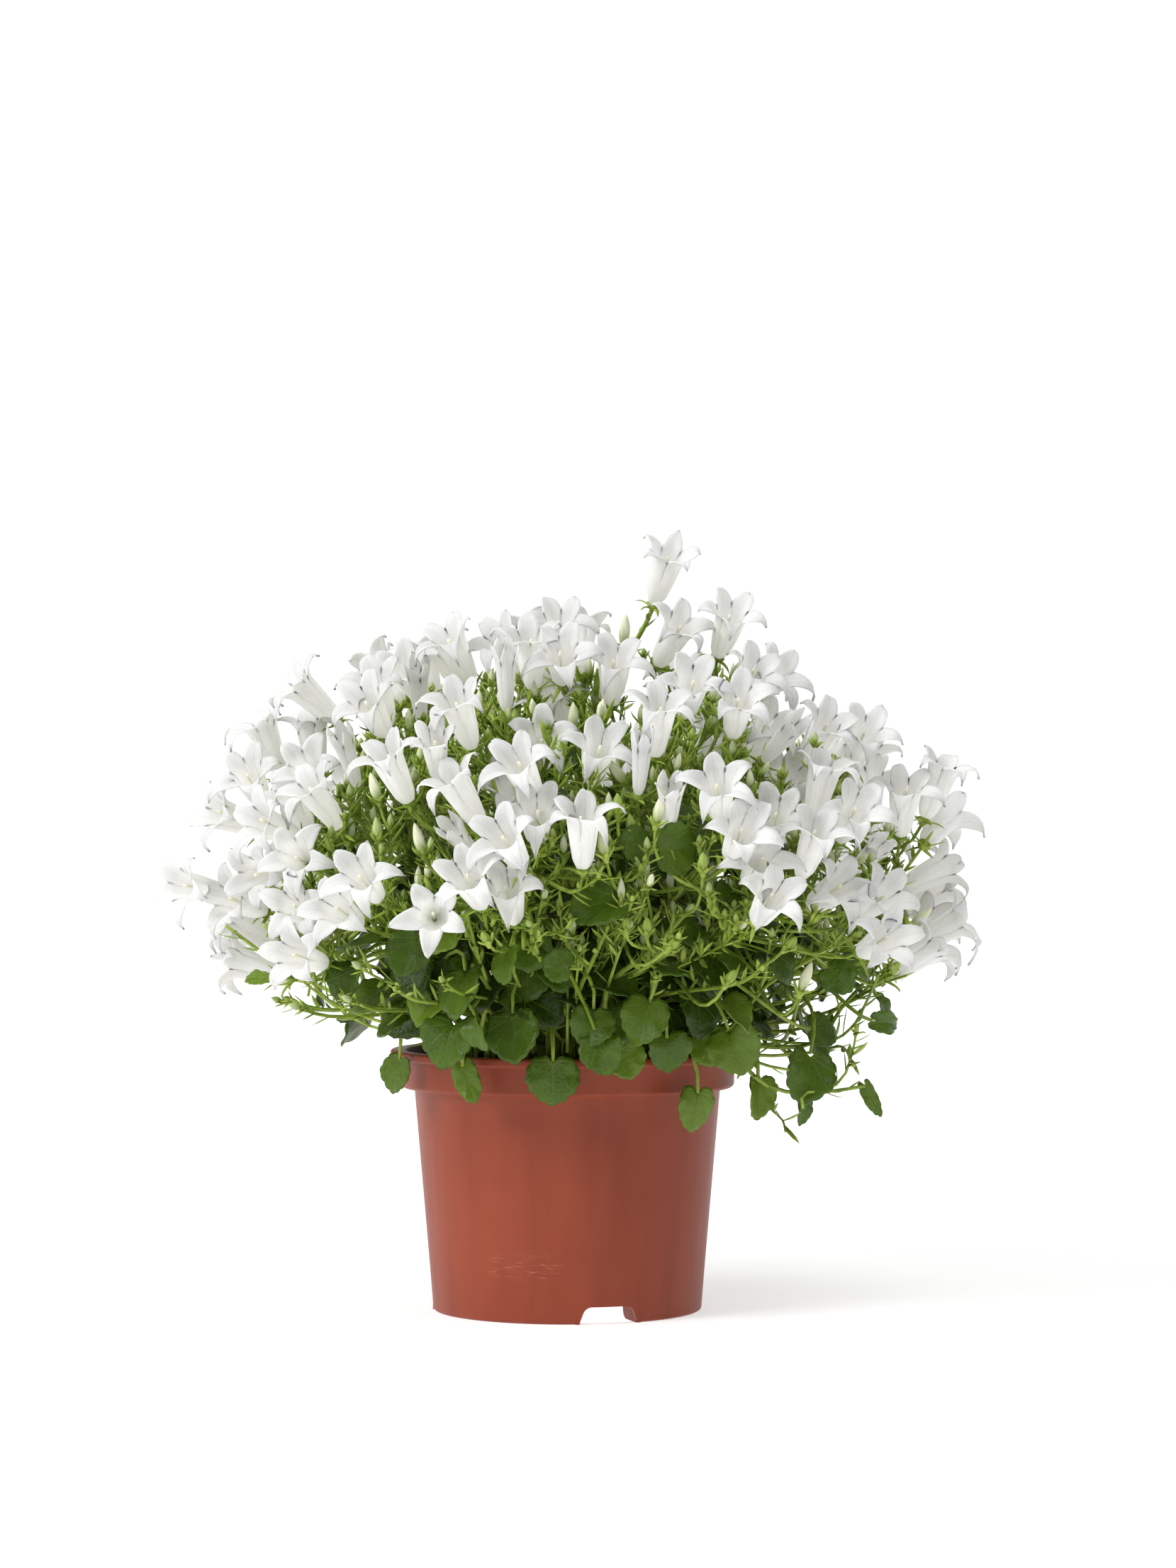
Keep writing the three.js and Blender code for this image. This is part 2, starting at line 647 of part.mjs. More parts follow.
// Adds to a stem the first form of a piece that is clear of everything but its own stem
function attach(stems, obstacles, end, arrival, makeSolid, tries = 110) {
  const holds = waysTo(stems, end).slice(0, tries);
  const forms = [[1, true], [0.7, true], [1, false], [0.7, false], [0.45, false], [0.3, false]];
  for (const [size, strict] of forms) {
    for (const hold of holds) {
      for (const bow of [0.4, 0.2]) {
        const solid = makeSolid(stalkCurve(hold.foothold, end, arrival, bow), size);
        const box = boxOf(solid);
        const others = stems.flatMap((stem) => (
          stem === hold.stem ? stem.parts.slice(strict ? 1 : stem.parts.length) : stem.parts
        ));
        if (!crosses(solid, box, obstacles) && !crosses(solid, box, others)) {
          hold.stem.parts.push({ solid, box });
          hold.foothold.taken = true;
          return true;
        }
      }
    }
  }
  return false;
}

function potSolid() {
  const wallAtBase = FOOT_RADIUS + (BODY_TOP_RADIUS - FOOT_RADIUS) * 0.1 - POT_WALL;
  const profile = [
    [0, BASE_UNDERSIDE],
    [wallAtBase, BASE_UNDERSIDE],
    [FOOT_RADIUS - POT_WALL, 0],
    [FOOT_RADIUS - 0.6, 0],
    [FOOT_RADIUS, 1],
    [BODY_TOP_RADIUS, COLLAR_BOTTOM],
    [COLLAR_RADIUS - 0.8, COLLAR_BOTTOM],
    [COLLAR_RADIUS, COLLAR_BOTTOM + 1],
    [COLLAR_RADIUS + 0.3, LIP_TOP - LIP_HEIGHT],
    [LIP_RADIUS, LIP_TOP - LIP_HEIGHT + 0.4],
    [LIP_RADIUS - 0.2, LIP_TOP],
    [COLLAR_RADIUS - POT_WALL, LIP_TOP],
    [COLLAR_RADIUS - POT_WALL - 0.3, COLLAR_BOTTOM + POT_WALL],
    [BODY_TOP_RADIUS - POT_WALL, COLLAR_BOTTOM - 1],
    [wallAtBase + 0.1, BASE_UNDERSIDE + POT_WALL],
    [0, BASE_UNDERSIDE + POT_WALL],
  ].map(([radius, height]) => new THREE.Vector2(radius, height));
  const turned = new THREE.LatheGeometry(profile, POT_SIDES);
  turned.rotateX(Math.PI / 2);
  let solid = solidFromGeometry(turned);
  for (let k = 0; k < NOTCH_COUNT; k += 1) {
    const turn = radians(-90 + NOTCH_FRONT_TURN + (360 * k) / NOTCH_COUNT);
    const notch = new THREE.BoxGeometry(12, NOTCH_WIDTH, 2 * NOTCH_HEIGHT);
    notch.translate(FOOT_RADIUS - 2, 0, 0);
    notch.rotateZ(turn);
    solid = solid.subtract(solidFromGeometry(notch));
  }
  for (let k = 0; k < DRAIN_COUNT; k += 1) {
    const hole = new THREE.CylinderGeometry(DRAIN_RADIUS, DRAIN_RADIUS, 8, 8);
    hole.rotateX(Math.PI / 2);
    hole.translate(DRAIN_CIRCLE, 0, BASE_UNDERSIDE);
    hole.rotateZ(radians(30 + (360 * k) / DRAIN_COUNT));
    solid = solid.subtract(solidFromGeometry(hole));
  }
  return solid;
}

// Soil that fills the pot, with a crumbly top and a plain hole round each stem
function soilSolid(stems) {
  const body = new Body();
  const frame = frameAlong(UP);
  const floor = BASE_UNDERSIDE + POT_WALL + CLEARANCE;
  const inner = POT_WALL + 0.2 + CLEARANCE / Math.cos(Math.PI / POT_SIDES);
  const rounded = Math.cos(Math.PI / POT_SIDES);
  const rings = [
    [(FOOT_RADIUS + 0.5 - inner) * rounded, floor],
    [(BODY_TOP_RADIUS - inner - 0.4) * rounded, COLLAR_BOTTOM - 1.5],
    [(COLLAR_RADIUS - inner - 0.8) * rounded, SOIL_TOP - 2],
    [44, SOIL_TOP],
    [22, SOIL_TOP],
  ].map(([radius, height], level) => body.ring(
    ringAt(vector(0, 0, 0), frame, SOIL_SIDES, radius, height).map((p, k) => {
      const crumb = level < 3 ? 0 : SOIL_CRUMB * Math.sin(5.1 * k + 2.3 * level);
      return p.addScaledVector(UP, crumb);
    }),
  ));
  body.band([body.point(vector(0, 0, floor))], rings[0]);
  rings.slice(1).forEach((ring, k) => body.band(rings[k], ring));
  body.band(rings[4], [body.point(vector(0, 0, SOIL_TOP))]);
  const holes = stems.map(({ curve }) => {
    const { origin, frame: turned } = framesAlong(curve, STEM_STEPS)[0];
    const hole = new Body();
    const radius = STEM_RADIUS + CLEARANCE * Math.SQRT2;
    const depth = STEM_FOOT + ROOT_DEPTH + CLEARANCE;
    const lower = hole.ring(ringAt(origin, turned, 4, radius, -depth));
    const upper = hole.ring(ringAt(origin, turned, 4, radius, 0));
    hole.triangle(lower[0], lower[2], lower[1]);
    hole.triangle(lower[0], lower[3], lower[2]);
    hole.band(lower, upper);
    hole.triangle(upper[0], upper[1], upper[2]);
    hole.triangle(upper[0], upper[2], upper[3]);
    return hole.solid();
  });
  return body.solid().subtract(wasm.Manifold.union(holes));
}

function growCalyces(stems, obstacles, blooms) {
  const random = seededRandom(7);
  blooms.forEach((bloom) => {
    const end = bloom.base.clone().addScaledVector(bloom.axis, -CALYX_SETBACK);
    const order = [random(), random(), random(), random(), random()];
    attach(stems, obstacles, end, bloom.axis, (curve, size) => {
      let k = 0;
      const drawn = () => order[(k++) % 5];
      return calyxSolid(curve, SEPAL_REACH * size, drawn);
    });
  });
}

function growBuds(stems, obstacles) {
  FRONT_BUDS.forEach(([across, up, tipAcross, tipUp, nearness]) => {
    const y = -moundDepth(across, up) * nearness;
    const foot = fromView(across, up, y);
    const tip = fromView(tipAcross, tipUp, y - 2);
    const length = foot.distanceTo(tip);
    const axis = tip.clone().sub(foot).normalize();
    attach(stems, obstacles, foot, axis, (curve, size) => (
      budSolid(curve, length * size, mix(1.5, 2.1, length / 13) * size)
    ));
  });
}

// A leaf hangs at a distance from the pot's axis with its upper face outwards and up
function leafForm(middle, turn, width, tilt) {
  const outward = vector(middle.x, middle.y, 0).normalize();
  const normal = outward.clone().multiplyScalar(Math.cos(tilt)).addScaledVector(UP, Math.sin(tilt));
  const right = UP.clone().cross(outward).normalize();
  const rise = normal.clone().cross(right);
  const tipWay = right.clone().multiplyScalar(Math.cos(turn)).addScaledVector(rise, Math.sin(turn));
  return { width, length: width * 1.05, normal, tipWay };
}

function growLeaf(stems, obstacles, middle, turn, width, tilt) {
  const form = leafForm(middle, turn, width, tilt);
  const foot = middle.clone().addScaledVector(form.tipWay, -form.length * 0.45);
  const arrival = form.tipWay.clone().addScaledVector(form.normal, -0.4).normalize();
  return attach(stems, obstacles, foot, arrival, (curve, size) => leafSolid(curve, {
    ...form,
    width: form.width * mix(0.6, 1, size),
    length: form.length * mix(0.6, 1, size),
  }), 24);
}

function growLeaves(stems, obstacles) {
  FRONT_LEAVES.forEach(([across, up, turn, width, reach]) => {
    const y = -Math.sqrt(Math.max(0, reach ** 2 - across ** 2));
    const tilt = radians(up < 100 ? 18 : 38);
    growLeaf(stems, obstacles, fromView(across, up, y), radians(turn), width, tilt);
  });
  const random = seededRandom(19);
  for (let k = 0; k < SIDE_LEAVES; k += 1) {
    const azimuth = radians(mix(-8, 188, (k * GOLDEN_TURN) % 1));
    const height = mix(90, 132, random());
    const reach = mix(76, 98, random());
    const middle = vector(reach * Math.cos(azimuth), reach * Math.sin(azimuth), height);
    const turn = radians(mix(190, 350, random()));
    growLeaf(stems, obstacles, middle, turn, mix(15, 20, random()), radians(mix(15, 45, random())));
  }
}

// Blooms that touch hold together as one bunch
function gatherBunches(solids) {
  const owner = solids.map((_, i) => i);
  const find = (i) => (owner[i] === i ? i : find(owner[i]));
  solids.forEach((one, i) => {
    for (let j = 0; j < i; j += 1) {
      const apart = find(i) !== find(j);
      if (apart && crosses(one.solid, one.box, [solids[j]])) owner[find(i)] = find(j);
    }
  });
  const bunches = new Map();
  solids.forEach(({ solid }, i) => {
    const root = find(i);
    bunches.set(root, [...(bunches.get(root) ?? []), solid]);
  });
  return [...bunches.values()].map((parts) => wasm.Manifold.union(parts));
}

// Draws the two ends of each edge shorter than a length into one, where the skin stays whole
function withoutShortEdges(solid, shortest) {
  const { points, faces } = pointsAndFaces(solid);
  const around = points.map(() => new Set());
  faces.forEach((face, f) => face.forEach((v) => around[v].add(f)));
  const neighbours = (v) => new Set([...around[v]].flatMap((f) => faces[f]));
  const normal = (corners) => {
    const [a, b, c] = corners.map((v) => points[v]);
    return b.clone().sub(a).cross(c.clone().sub(a));
  };
  const drawIn = (drop, keep) => {
    const theirs = neighbours(drop);
    const shared = [...neighbours(keep)].filter((v) => v !== keep && v !== drop && theirs.has(v));
    if (shared.length !== 2) return;
    const renamed = (f) => faces[f].map((v) => (v === drop ? keep : v));
    const stay = [...around[drop]].filter((f) => !faces[f].includes(keep));
    if (stay.some((f) => normal(faces[f]).dot(normal(renamed(f))) < 0)) return;
    [...around[drop]].filter((f) => faces[f].includes(keep)).forEach((f) => {
      faces[f].forEach((v) => around[v].delete(f));
      faces[f] = null;
    });
    stay.forEach((f) => {
      faces[f] = renamed(f);
      around[keep].add(f);
    });
    around[drop].clear();
  };
  for (let f = 0; f < faces.length; f += 1) {
    for (let side = 0; side < 3 && faces[f]; side += 1) {
      const keep = faces[f][side];
      const drop = faces[f][(side + 1) % 3];
      if (points[keep].distanceTo(points[drop]) < shortest) drawIn(drop, keep);
    }
  }
  const body = new Body();
  body.points = points;
  body.triangles = faces.filter(Boolean).flat();
  return body.solid();
}

function pointsAndFaces(solid) {
  const { vertProperties, triVerts, numProp } = solid.getMesh();
  const points = [];
  for (let i = 0; i < vertProperties.length; i += numProp) {
    points.push(vector(vertProperties[i], vertProperties[i + 1], vertProperties[i + 2]));
  }
  const faces = [];
  for (let i = 0; i < triVerts.length; i += 3) {
    faces.push([triVerts[i], triVerts[i + 1], triVerts[i + 2]]);
  }
  return { points, faces };
}

// The largest body of a join, without loose scraps, sealed hollows or slivers
function wholeBody(solid) {
  const whole = solid.decompose().sort((a, b) => b.volume() - a.volume())[0];
  return SHORT_EDGES.reduce((body, length) => withoutShortEdges(body, length), whole);
}

const potFinish = new THREE.MeshStandardMaterial({ color: 0x9a543c, roughness: 0.42, metalness: 0 });
const soilFinish = new THREE.MeshStandardMaterial({ color: 0x2b1d14, roughness: 0.95, metalness: 0 });
const stemFinish = new THREE.MeshStandardMaterial({ color: 0x6b8a2e, roughness: 0.6, metalness: 0 });
const bloomFinish = new THREE.MeshStandardMaterial({ color: 0xf1f1ee, roughness: 0.55, metalness: 0 });

const plant = new THREE.Group();

function addPiece(name, solid, finish) {
  const mesh = new THREE.Mesh(geometryFromSolid(solid), finish.clone());
  mesh.name = name;
  plant.add(mesh);
}

const blooms = layOutBlooms();
const lobeRandom = seededRandom(23);
const bloomSolids = blooms.map((bloom) => {
  const solid = bloomSolid(bloom, lobeRandom);
  return { solid, box: boxOf(solid) };
});
const pot = potSolid();
const potPart = { solid: pot, box: boxOf(pot) };
const stems = growStems(bloomSolids, potPart);
const soil = soilSolid(stems);
const obstacles = [...bloomSolids, potPart, { solid: soil, box: boxOf(soil) }];
growCalyces(stems, obstacles, blooms);
growLeaves(stems, obstacles);
growBuds(stems, obstacles);

addPiece('pot', pot, potFinish);
addPiece('potting_soil', soil, soilFinish);
stems.forEach(({ parts }, k) => {
  const joined = wholeBody(wasm.Manifold.union(parts.map(({ solid }) => solid)));
  addPiece(`leafy_stem_${String(k + 1).padStart(2, '0')}`, joined, stemFinish);
});
gatherBunches(bloomSolids).forEach((bunch, k) => {
  addPiece(`blooms_${String(k + 1).padStart(2, '0')}`, wholeBody(bunch), bloomFinish);
});

export default plant;
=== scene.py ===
import math

import bmesh
import bpy
from mathutils import Matrix, Quaternion, Vector
from mathutils.bvhtree import BVHTree
from mathutils.kdtree import KDTree


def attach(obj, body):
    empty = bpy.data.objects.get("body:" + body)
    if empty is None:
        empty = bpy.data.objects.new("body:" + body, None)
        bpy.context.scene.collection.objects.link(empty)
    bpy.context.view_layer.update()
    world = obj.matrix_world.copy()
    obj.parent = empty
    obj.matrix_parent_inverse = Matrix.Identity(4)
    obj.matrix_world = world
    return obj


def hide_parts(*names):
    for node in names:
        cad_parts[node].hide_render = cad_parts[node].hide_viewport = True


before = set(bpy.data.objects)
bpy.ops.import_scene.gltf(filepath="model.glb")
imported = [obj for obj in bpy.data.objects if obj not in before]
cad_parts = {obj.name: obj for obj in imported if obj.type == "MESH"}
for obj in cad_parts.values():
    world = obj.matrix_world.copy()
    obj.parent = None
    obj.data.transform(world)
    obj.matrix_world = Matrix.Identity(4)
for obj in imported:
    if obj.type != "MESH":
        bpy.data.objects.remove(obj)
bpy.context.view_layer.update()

# Lengths are in millimetres until a mesh is finished, which brings it to metres
MM = 0.001

# Corners that lie this close together become one
WELD = 0.004
LOBE_WELD = 0.01
TURNED_WELD = 0.001

# Pot
LIP_RADIUS = 60
LIP_TOP = 88.2
LIP_HEIGHT = 2.7
COLLAR_RADIUS = 56.6
COLLAR_BOTTOM = 75.4
BODY_TOP_RADIUS = 51.8
FOOT_RADIUS = 45.4
POT_WALL = 1.7
BASE_UNDERSIDE = 6.6
POT_STEPS = 128
NOTCH_COUNT = 3
NOTCH_FRONT_TURN = 18
NOTCH_WIDTH = 20.2
NOTCH_HEIGHT = 5.7
NOTCH_REACH = 14
NOTCH_CORNER = 2.0
NOTCH_WALL = 1.5
NOTCH_WALL_CORNER = 3.4
DRAIN_COUNT = 3
DRAIN_FIRST_TURN = 30
DRAIN_RADIUS = 4
DRAIN_CIRCLE = 27
SHARP_ANGLE = 38

# Soil
SOIL_TOP = 85
SOIL_SIDES = 96
SOIL_RINGS = 22
SOIL_HEAP = 2
SOIL_SLOPE = 9
SOIL_LUMP = 0.8
CRUMBS = 420

# Mound of blooms: their bases lie on this shell round the plant
MOUND_CENTRE = Vector((8, 0, 130))
MOUND_HALF_WIDTH = 112
MOUND_HALF_DEPTH = 110
MOUND_HEIGHT = 95
MOUND_DROP = 150

# The front is laid out as seen level from this far away and from this point of the view
VIEW_DISTANCE = 1490
VIEW_X = 7
VIEW_Z = 178
LENS = 100.8

# The floor, in metres
FLOOR_HALF_WIDTH = 40.0

# Bloom
TUBE_LENGTH = 17.3
MOUTH_RADIUS = 5.2
THROAT_RADIUS = 3.2
MOST_SLANT = 0.98
LOBES = 5
LEAST_CURL = 0.38
MOST_CURL = 1.15
SHUT_GIRTH = 0.5

# Points that guide a lobe past the mouth, shut and fully curled: radius and height in the bell
SHUT_LOBE = ((MOUTH_RADIUS, TUBE_LENGTH), (5.7, 21.4), (5.4, 25.4), (3.4, 28.8))
CURLED_LOBE = ((MOUTH_RADIUS, TUBE_LENGTH), (6.4, 20.6), (12.2, 24.4), (14.8, 16.8))

# Where blooms stand
CALYX_SETBACK = 1.8
BACK_BUNCHES = 10
BUNCH_BLOOMS = 3
BUNCH_RADIUS = 11
BACK_SPAN = (14, 166)
BACK_RISES = (-0.1, 0.95)
BELL_SPACING_MIN = 16.5
BELL_SPACING_MAX = 18
BELL_NUDGE = 2.5
NUDGE_ROUNDS = 4
FILLER_TRIES = 900
FILLER_SPAN = (-4, 184)
FILLER_RISES = (-0.22, 0.97)
FILLER_SPACING = 14.5
FILLER_LOWEST = 112
FILLER_HIGHEST = 182
FILLER_PIECES = 3
STYLE_SHOWS = 0.5

# A bell's rows of faces and its lobes' columns. The lobes part at a share of the tube, and
# the mouth is at a share of a lobe.
JOINED_ROWS = 4
PARTED_ROWS = 2
SPREAD_ROWS = 7
LOBE_COLUMNS = 6
PARTING = 0.67
MOUTH_SHARE = 0.3
FOOT_SHARE = 0.14
FOOT_HEIGHT = 2.4
PETAL_SHEET = 0.36

# A bell is kept clear of shoots and leaves by marks along its axis
BELL_MARKS = 5
BELL_MARK_STEP = 5

# Stems and stalks. Rises, here and above, are sines of how far up a place lies round the mound,
# and spans are degrees about the pot's axis from the right.
STEM_COUNT = 16
STEM_STEPS = 16
STEM_SIDES = 8
STEM_RADIUS = 1.15
STEM_COURSES = (0.8, 0.74, 0.68, 0.62, 0.55)
STEM_TWISTS = (0, 7, -7, 14, -14)
STEM_RISES = (-0.08, 0.93)
ROOT_RING_MAX = 36
ROOT_RING_MIN = 12
STEM_FOOT = 5
STEM_SUNK = 6
STALK_RADIUS = 0.68
SHOOT_RADIUS = 0.6
SIDE_SHOOT_RADIUS = 0.42
STALK_STEP = 6
LONG_STALK = 30
SHORTEST_STALK = 7
HELD_WITHIN = 1.2
FOOTHOLD_STEP = 3.2
BRACT_STEP = 5.5
TIP_BRACTS = (0, 0, 1, 1, 2, 2, 3, 4, 5, 6)
TIP_BRACT_STEP = 3.2
BOWS = (0.4, 0.2)
HUNG_BEND_COST = 2.5
LOOSE_BEND_COST = 14
FAN_STEMS = 96
FAN_RISES = (-0.2, 0.93)
FAN_SHARES = (0.97, 0.92, 0.86, 0.8, 0.73)
LOWEST_SHOOT = 116
SHOOT_TRIES = 5
SHOOT_TIP_GAP = 5.5
SHOOT_GAP = 4.5

# Leaf
LEAF_TEETH = 13
LEAF_SHEET = 0.45
SIDE_LEAVES = 11
SIDE_LEAF_SPAN = (-8, 188)
GROUND_LEAVES = 84
DRAPED_REACH = 66

# Seeds of the random draws
BLOOM_SEED = 41
FILLER_SEED = 53
BELL_SEED = 23
LOBE_SEED = 9000
CRUMB_SEED = 77
PLANT_SEED = 7
SIDE_LEAF_SEED = 19
FAN_SEED = 31
GROUND_LEAF_SEED = 37

UP = Vector((0, 0, 1))
FULL_TURN = 2 * math.pi
GOLDEN_TURN = 0.6180339887

# Front blooms, in millimetres of the front view: where the tube starts (across, up),
# where its mouth is (across, up), how near the front of the mound it is (1 is the
# front, 0 the middle), and how far it is open where that is less than fully
FRONT_BLOOMS = (
    # left flank
    (-95, 181, -101, 197, 0.3), (-76, 194, -88, 205, 0.35), (-86, 184, -88, 201, 0),
    (-86, 175, -88, 182, 0.8), (-77, 163, -86, 176, 0.8), (-88, 162, -92, 174, 0.4),
    (-104, 163, -117, 168, 0.5), (-93, 157, -105, 163, 0.9), (-103, 171, -107, 181, 0.2),
    (-88, 147, -91, 150, 0.95), (-87, 130, -91, 134, 0.9), (-70, 131, -77, 136, 0.95),
    (-82, 118, -91, 121, 0.9), (-115, 141, -126, 143, 0.3), (-104, 135, -114, 140, 0.7),
    (-96, 150, -104, 148, 0.3),
    # left shoulder
    (-30, 212, -37, 226, 0.5), (-37, 205, -45, 220, 0.1), (-14, 214, -23, 226, 0.4),
    (-10, 209, -11, 225, 0.8), (-21, 202, -21, 218, 0.9, 0.3), (-52, 198, -53, 213, 0.4, 0.3),
    (-47, 207, -52, 217, 0), (-57, 198, -61, 212, 0.6), (-62, 193, -68, 204, 0.9),
    (-33, 188, -38, 203, 1), (-43, 178, -44, 190, 1, 0.6), (-55, 171, -62, 186, 1),
    (-72, 176, -76, 190, 0.7, 0.3),
    # centre left
    (-29, 163, -38, 178, 1), (-11, 174, -17, 186, 1), (-17, 164, -20, 175, 0.6),
    (-16, 149, -22, 159, 1), (-30, 151, -37, 160, 0.8, 0.3), (-64, 139, -69, 147, 1),
    (-27, 136, -32, 146, 1), (-18, 131, -20, 143, 0.9), (-45, 132, -45, 134, 1),
    (-8, 158, -8, 168, 0.9), (-7, 186, -7, 195, 0.7), (3, 186, -1, 199, 0.3),
    # crown
    (7, 220, 7, 235, 0.5), (-3, 213, -3, 222, 0.9),
    (30, 218, 37, 230, 0.1), (51, 221, 55, 234, 0.1), (21, 204, 22, 218, 0.7),
    (29, 186, 31, 202, 1), (42, 200, 44, 211, 0.95), (56, 194, 58, 206, 1),
    (54, 206, 62, 218, 0.4), (62, 205, 72, 214, 0), (61, 186, 67, 197, 0.2),
    (66, 186, 74, 196, 0.7, 0.3), (46, 186, 50, 197, 0.1),
    # centre right
    (4, 149, 4, 166, 1), (8, 178, 10, 190, 0.8), (24, 174, 25, 189, 0.95, 0.2),
    (36, 160, 37, 174, 0.9, 0.4), (51, 165, 50, 177, 1), (55, 153, 59, 162, 1),
    (68, 157, 68, 168, 0.75), (71, 159, 79, 167, 0.4), (70, 168, 74, 179, 0.1),
    (61, 145, 65, 153, 0.85), (64, 131, 69, 140, 1), (79, 146, 84, 161, 1),
    (83, 136, 92, 143, 0.8), (84, 152, 88, 164, 0.3),
    # right flank
    (82, 185, 89, 197, 0.2), (96, 184, 100, 195, 0), (83, 165, 87, 182, 0.9),
    (93, 158, 98, 168, 0.95), (113, 160, 114, 175, 0.2), (121, 166, 127, 182, 0.3),
    (121, 158, 129, 167, -0.3), (112, 142, 127, 149, -0.3), (116, 122, 125, 130, -0.3),
    (97, 130, 106, 138, 0.9), (99, 123, 107, 128, 1), (100, 150, 106, 161, -0.2),
    (98, 148, 104, 155, 0.3, 0.3), (103, 166, 103, 178, -0.1),
)

# The one bloom that stands above the mound, laid out in the same way
TOP_BLOOM = (29.2, 238.8, 33.9, 253.2, 0.3)

# How far its lobes curl, the radius of its stalk, and its sepals' length and lift
TOP_BLOOM_FORM = {"curls": (0.1, 0.74), "stalk": 0.95, "sepals": (6.6, (-0.4, -0.15))}

# Front buds in the same view: foot (across, up), tip (across, up), nearness to the front
FRONT_BUDS = (
    (-64, 172, -67, 182, 0.95), (-64, 159, -65, 167, 1), (-51, 175, -51, 182, 0.9),
    (-49, 154, -52, 165, 1), (-27, 124, -29, 128, 0.9), (-17, 197, -18, 204, 0.8),
    (19, 224, 20, 236, 0.6), (2, 196, 2, 206, 0.8), (10, 203, 10, 214, 0.6),
    (12, 197, 12, 204, 0.8), (17, 168, 17, 175, 1), (8, 169, 8, 176, 1),
    (30, 164, 33, 176, 1), (13, 153, 11, 162, 1), (22, 161, 21, 168, 0.9),
    (20, 128, 20, 133, 0.9), (27, 127, 27, 133, 0.9), (35, 182, 39, 191, 0.8),
    (20, 178, 14, 186, 0.9), (48, 196, 53, 203, 0.8), (46, 148, 46, 155, 1),
    (56, 182, 62, 187, 0.9), (79, 107, 83, 118, 0.85), (74, 122, 78, 126, 0.9),
    (34, 122, 38, 126, 0.9), (116, 129, 124, 136, 0.2), (54, 110, 57, 115, 0.9),
    (109, 113, 113, 118, 0.3),
)

# Front leaves in the same view: middle (across, up), where the tip points in degrees
# from the right, width, and how far from the pot's axis the leaf hangs. Some have a roll
# about their length in degrees, and a slimness, which is 1 for a round leaf.
FRONT_LEAVES = (
    (-70, 124, 200, 15, 92), (-54, 121, 250, 15, 94), (-43, 126, 230, 14, 96),
    (-37, 108, 262, 17, 86), (-48, 103, 240, 14, 80), (-41, 90, 255, 17, 80, 0),
    (-18, 92, 275, 17, 74, 8), (-30, 94, 285, 12, 88, 55), (-22, 118, 250, 13, 92),
    (11, 138, 190, 18, 98, 0), (38, 156, 5, 16, 100), (24, 158, 20, 11, 98),
    (36, 115, -10, 13, 92), (-4, 117, 160, 11, 92), (26, 98, 250, 15, 82, 10),
    (8, 95, 262, 14, 76), (12, 86, 285, 14, 78, 10), (55, 118, 130, 14, 90),
    (57, 100, 300, 15, 84), (82, 79, 255, 17, 92, 0), (108, 102, -60, 13, 108, 20, 0.55),
    (109, 97, -8, 16, 110, 20, 0.45), (87, 95, 0, 12, 92), (100, 117, -70, 12, 106),
    (92, 112, -60, 11, 100), (57, 87, 280, 17, 80), (-68, 106, 205, 13, 88),
    (-60, 97, 215, 14, 78),
)

# Leaves that hang over the pot's lip in the same view: middle (across, up), where the
# tip points in degrees from the right, width and slimness
DRAPED_LEAVES = (
    (-58, 79, 250, 13, 0.8), (-33, 76, 290, 16, 0.55), (-5, 76, 268, 17, 1), (20, 83, 285, 13, 1),
    (34, 86, 275, 14, 1), (43, 67, 262, 15, 0.83), (48, 88, 300, 14, 1), (64, 71, 268, 14, 0.85),
    (80, 67, 265, 11, 0.6),
)

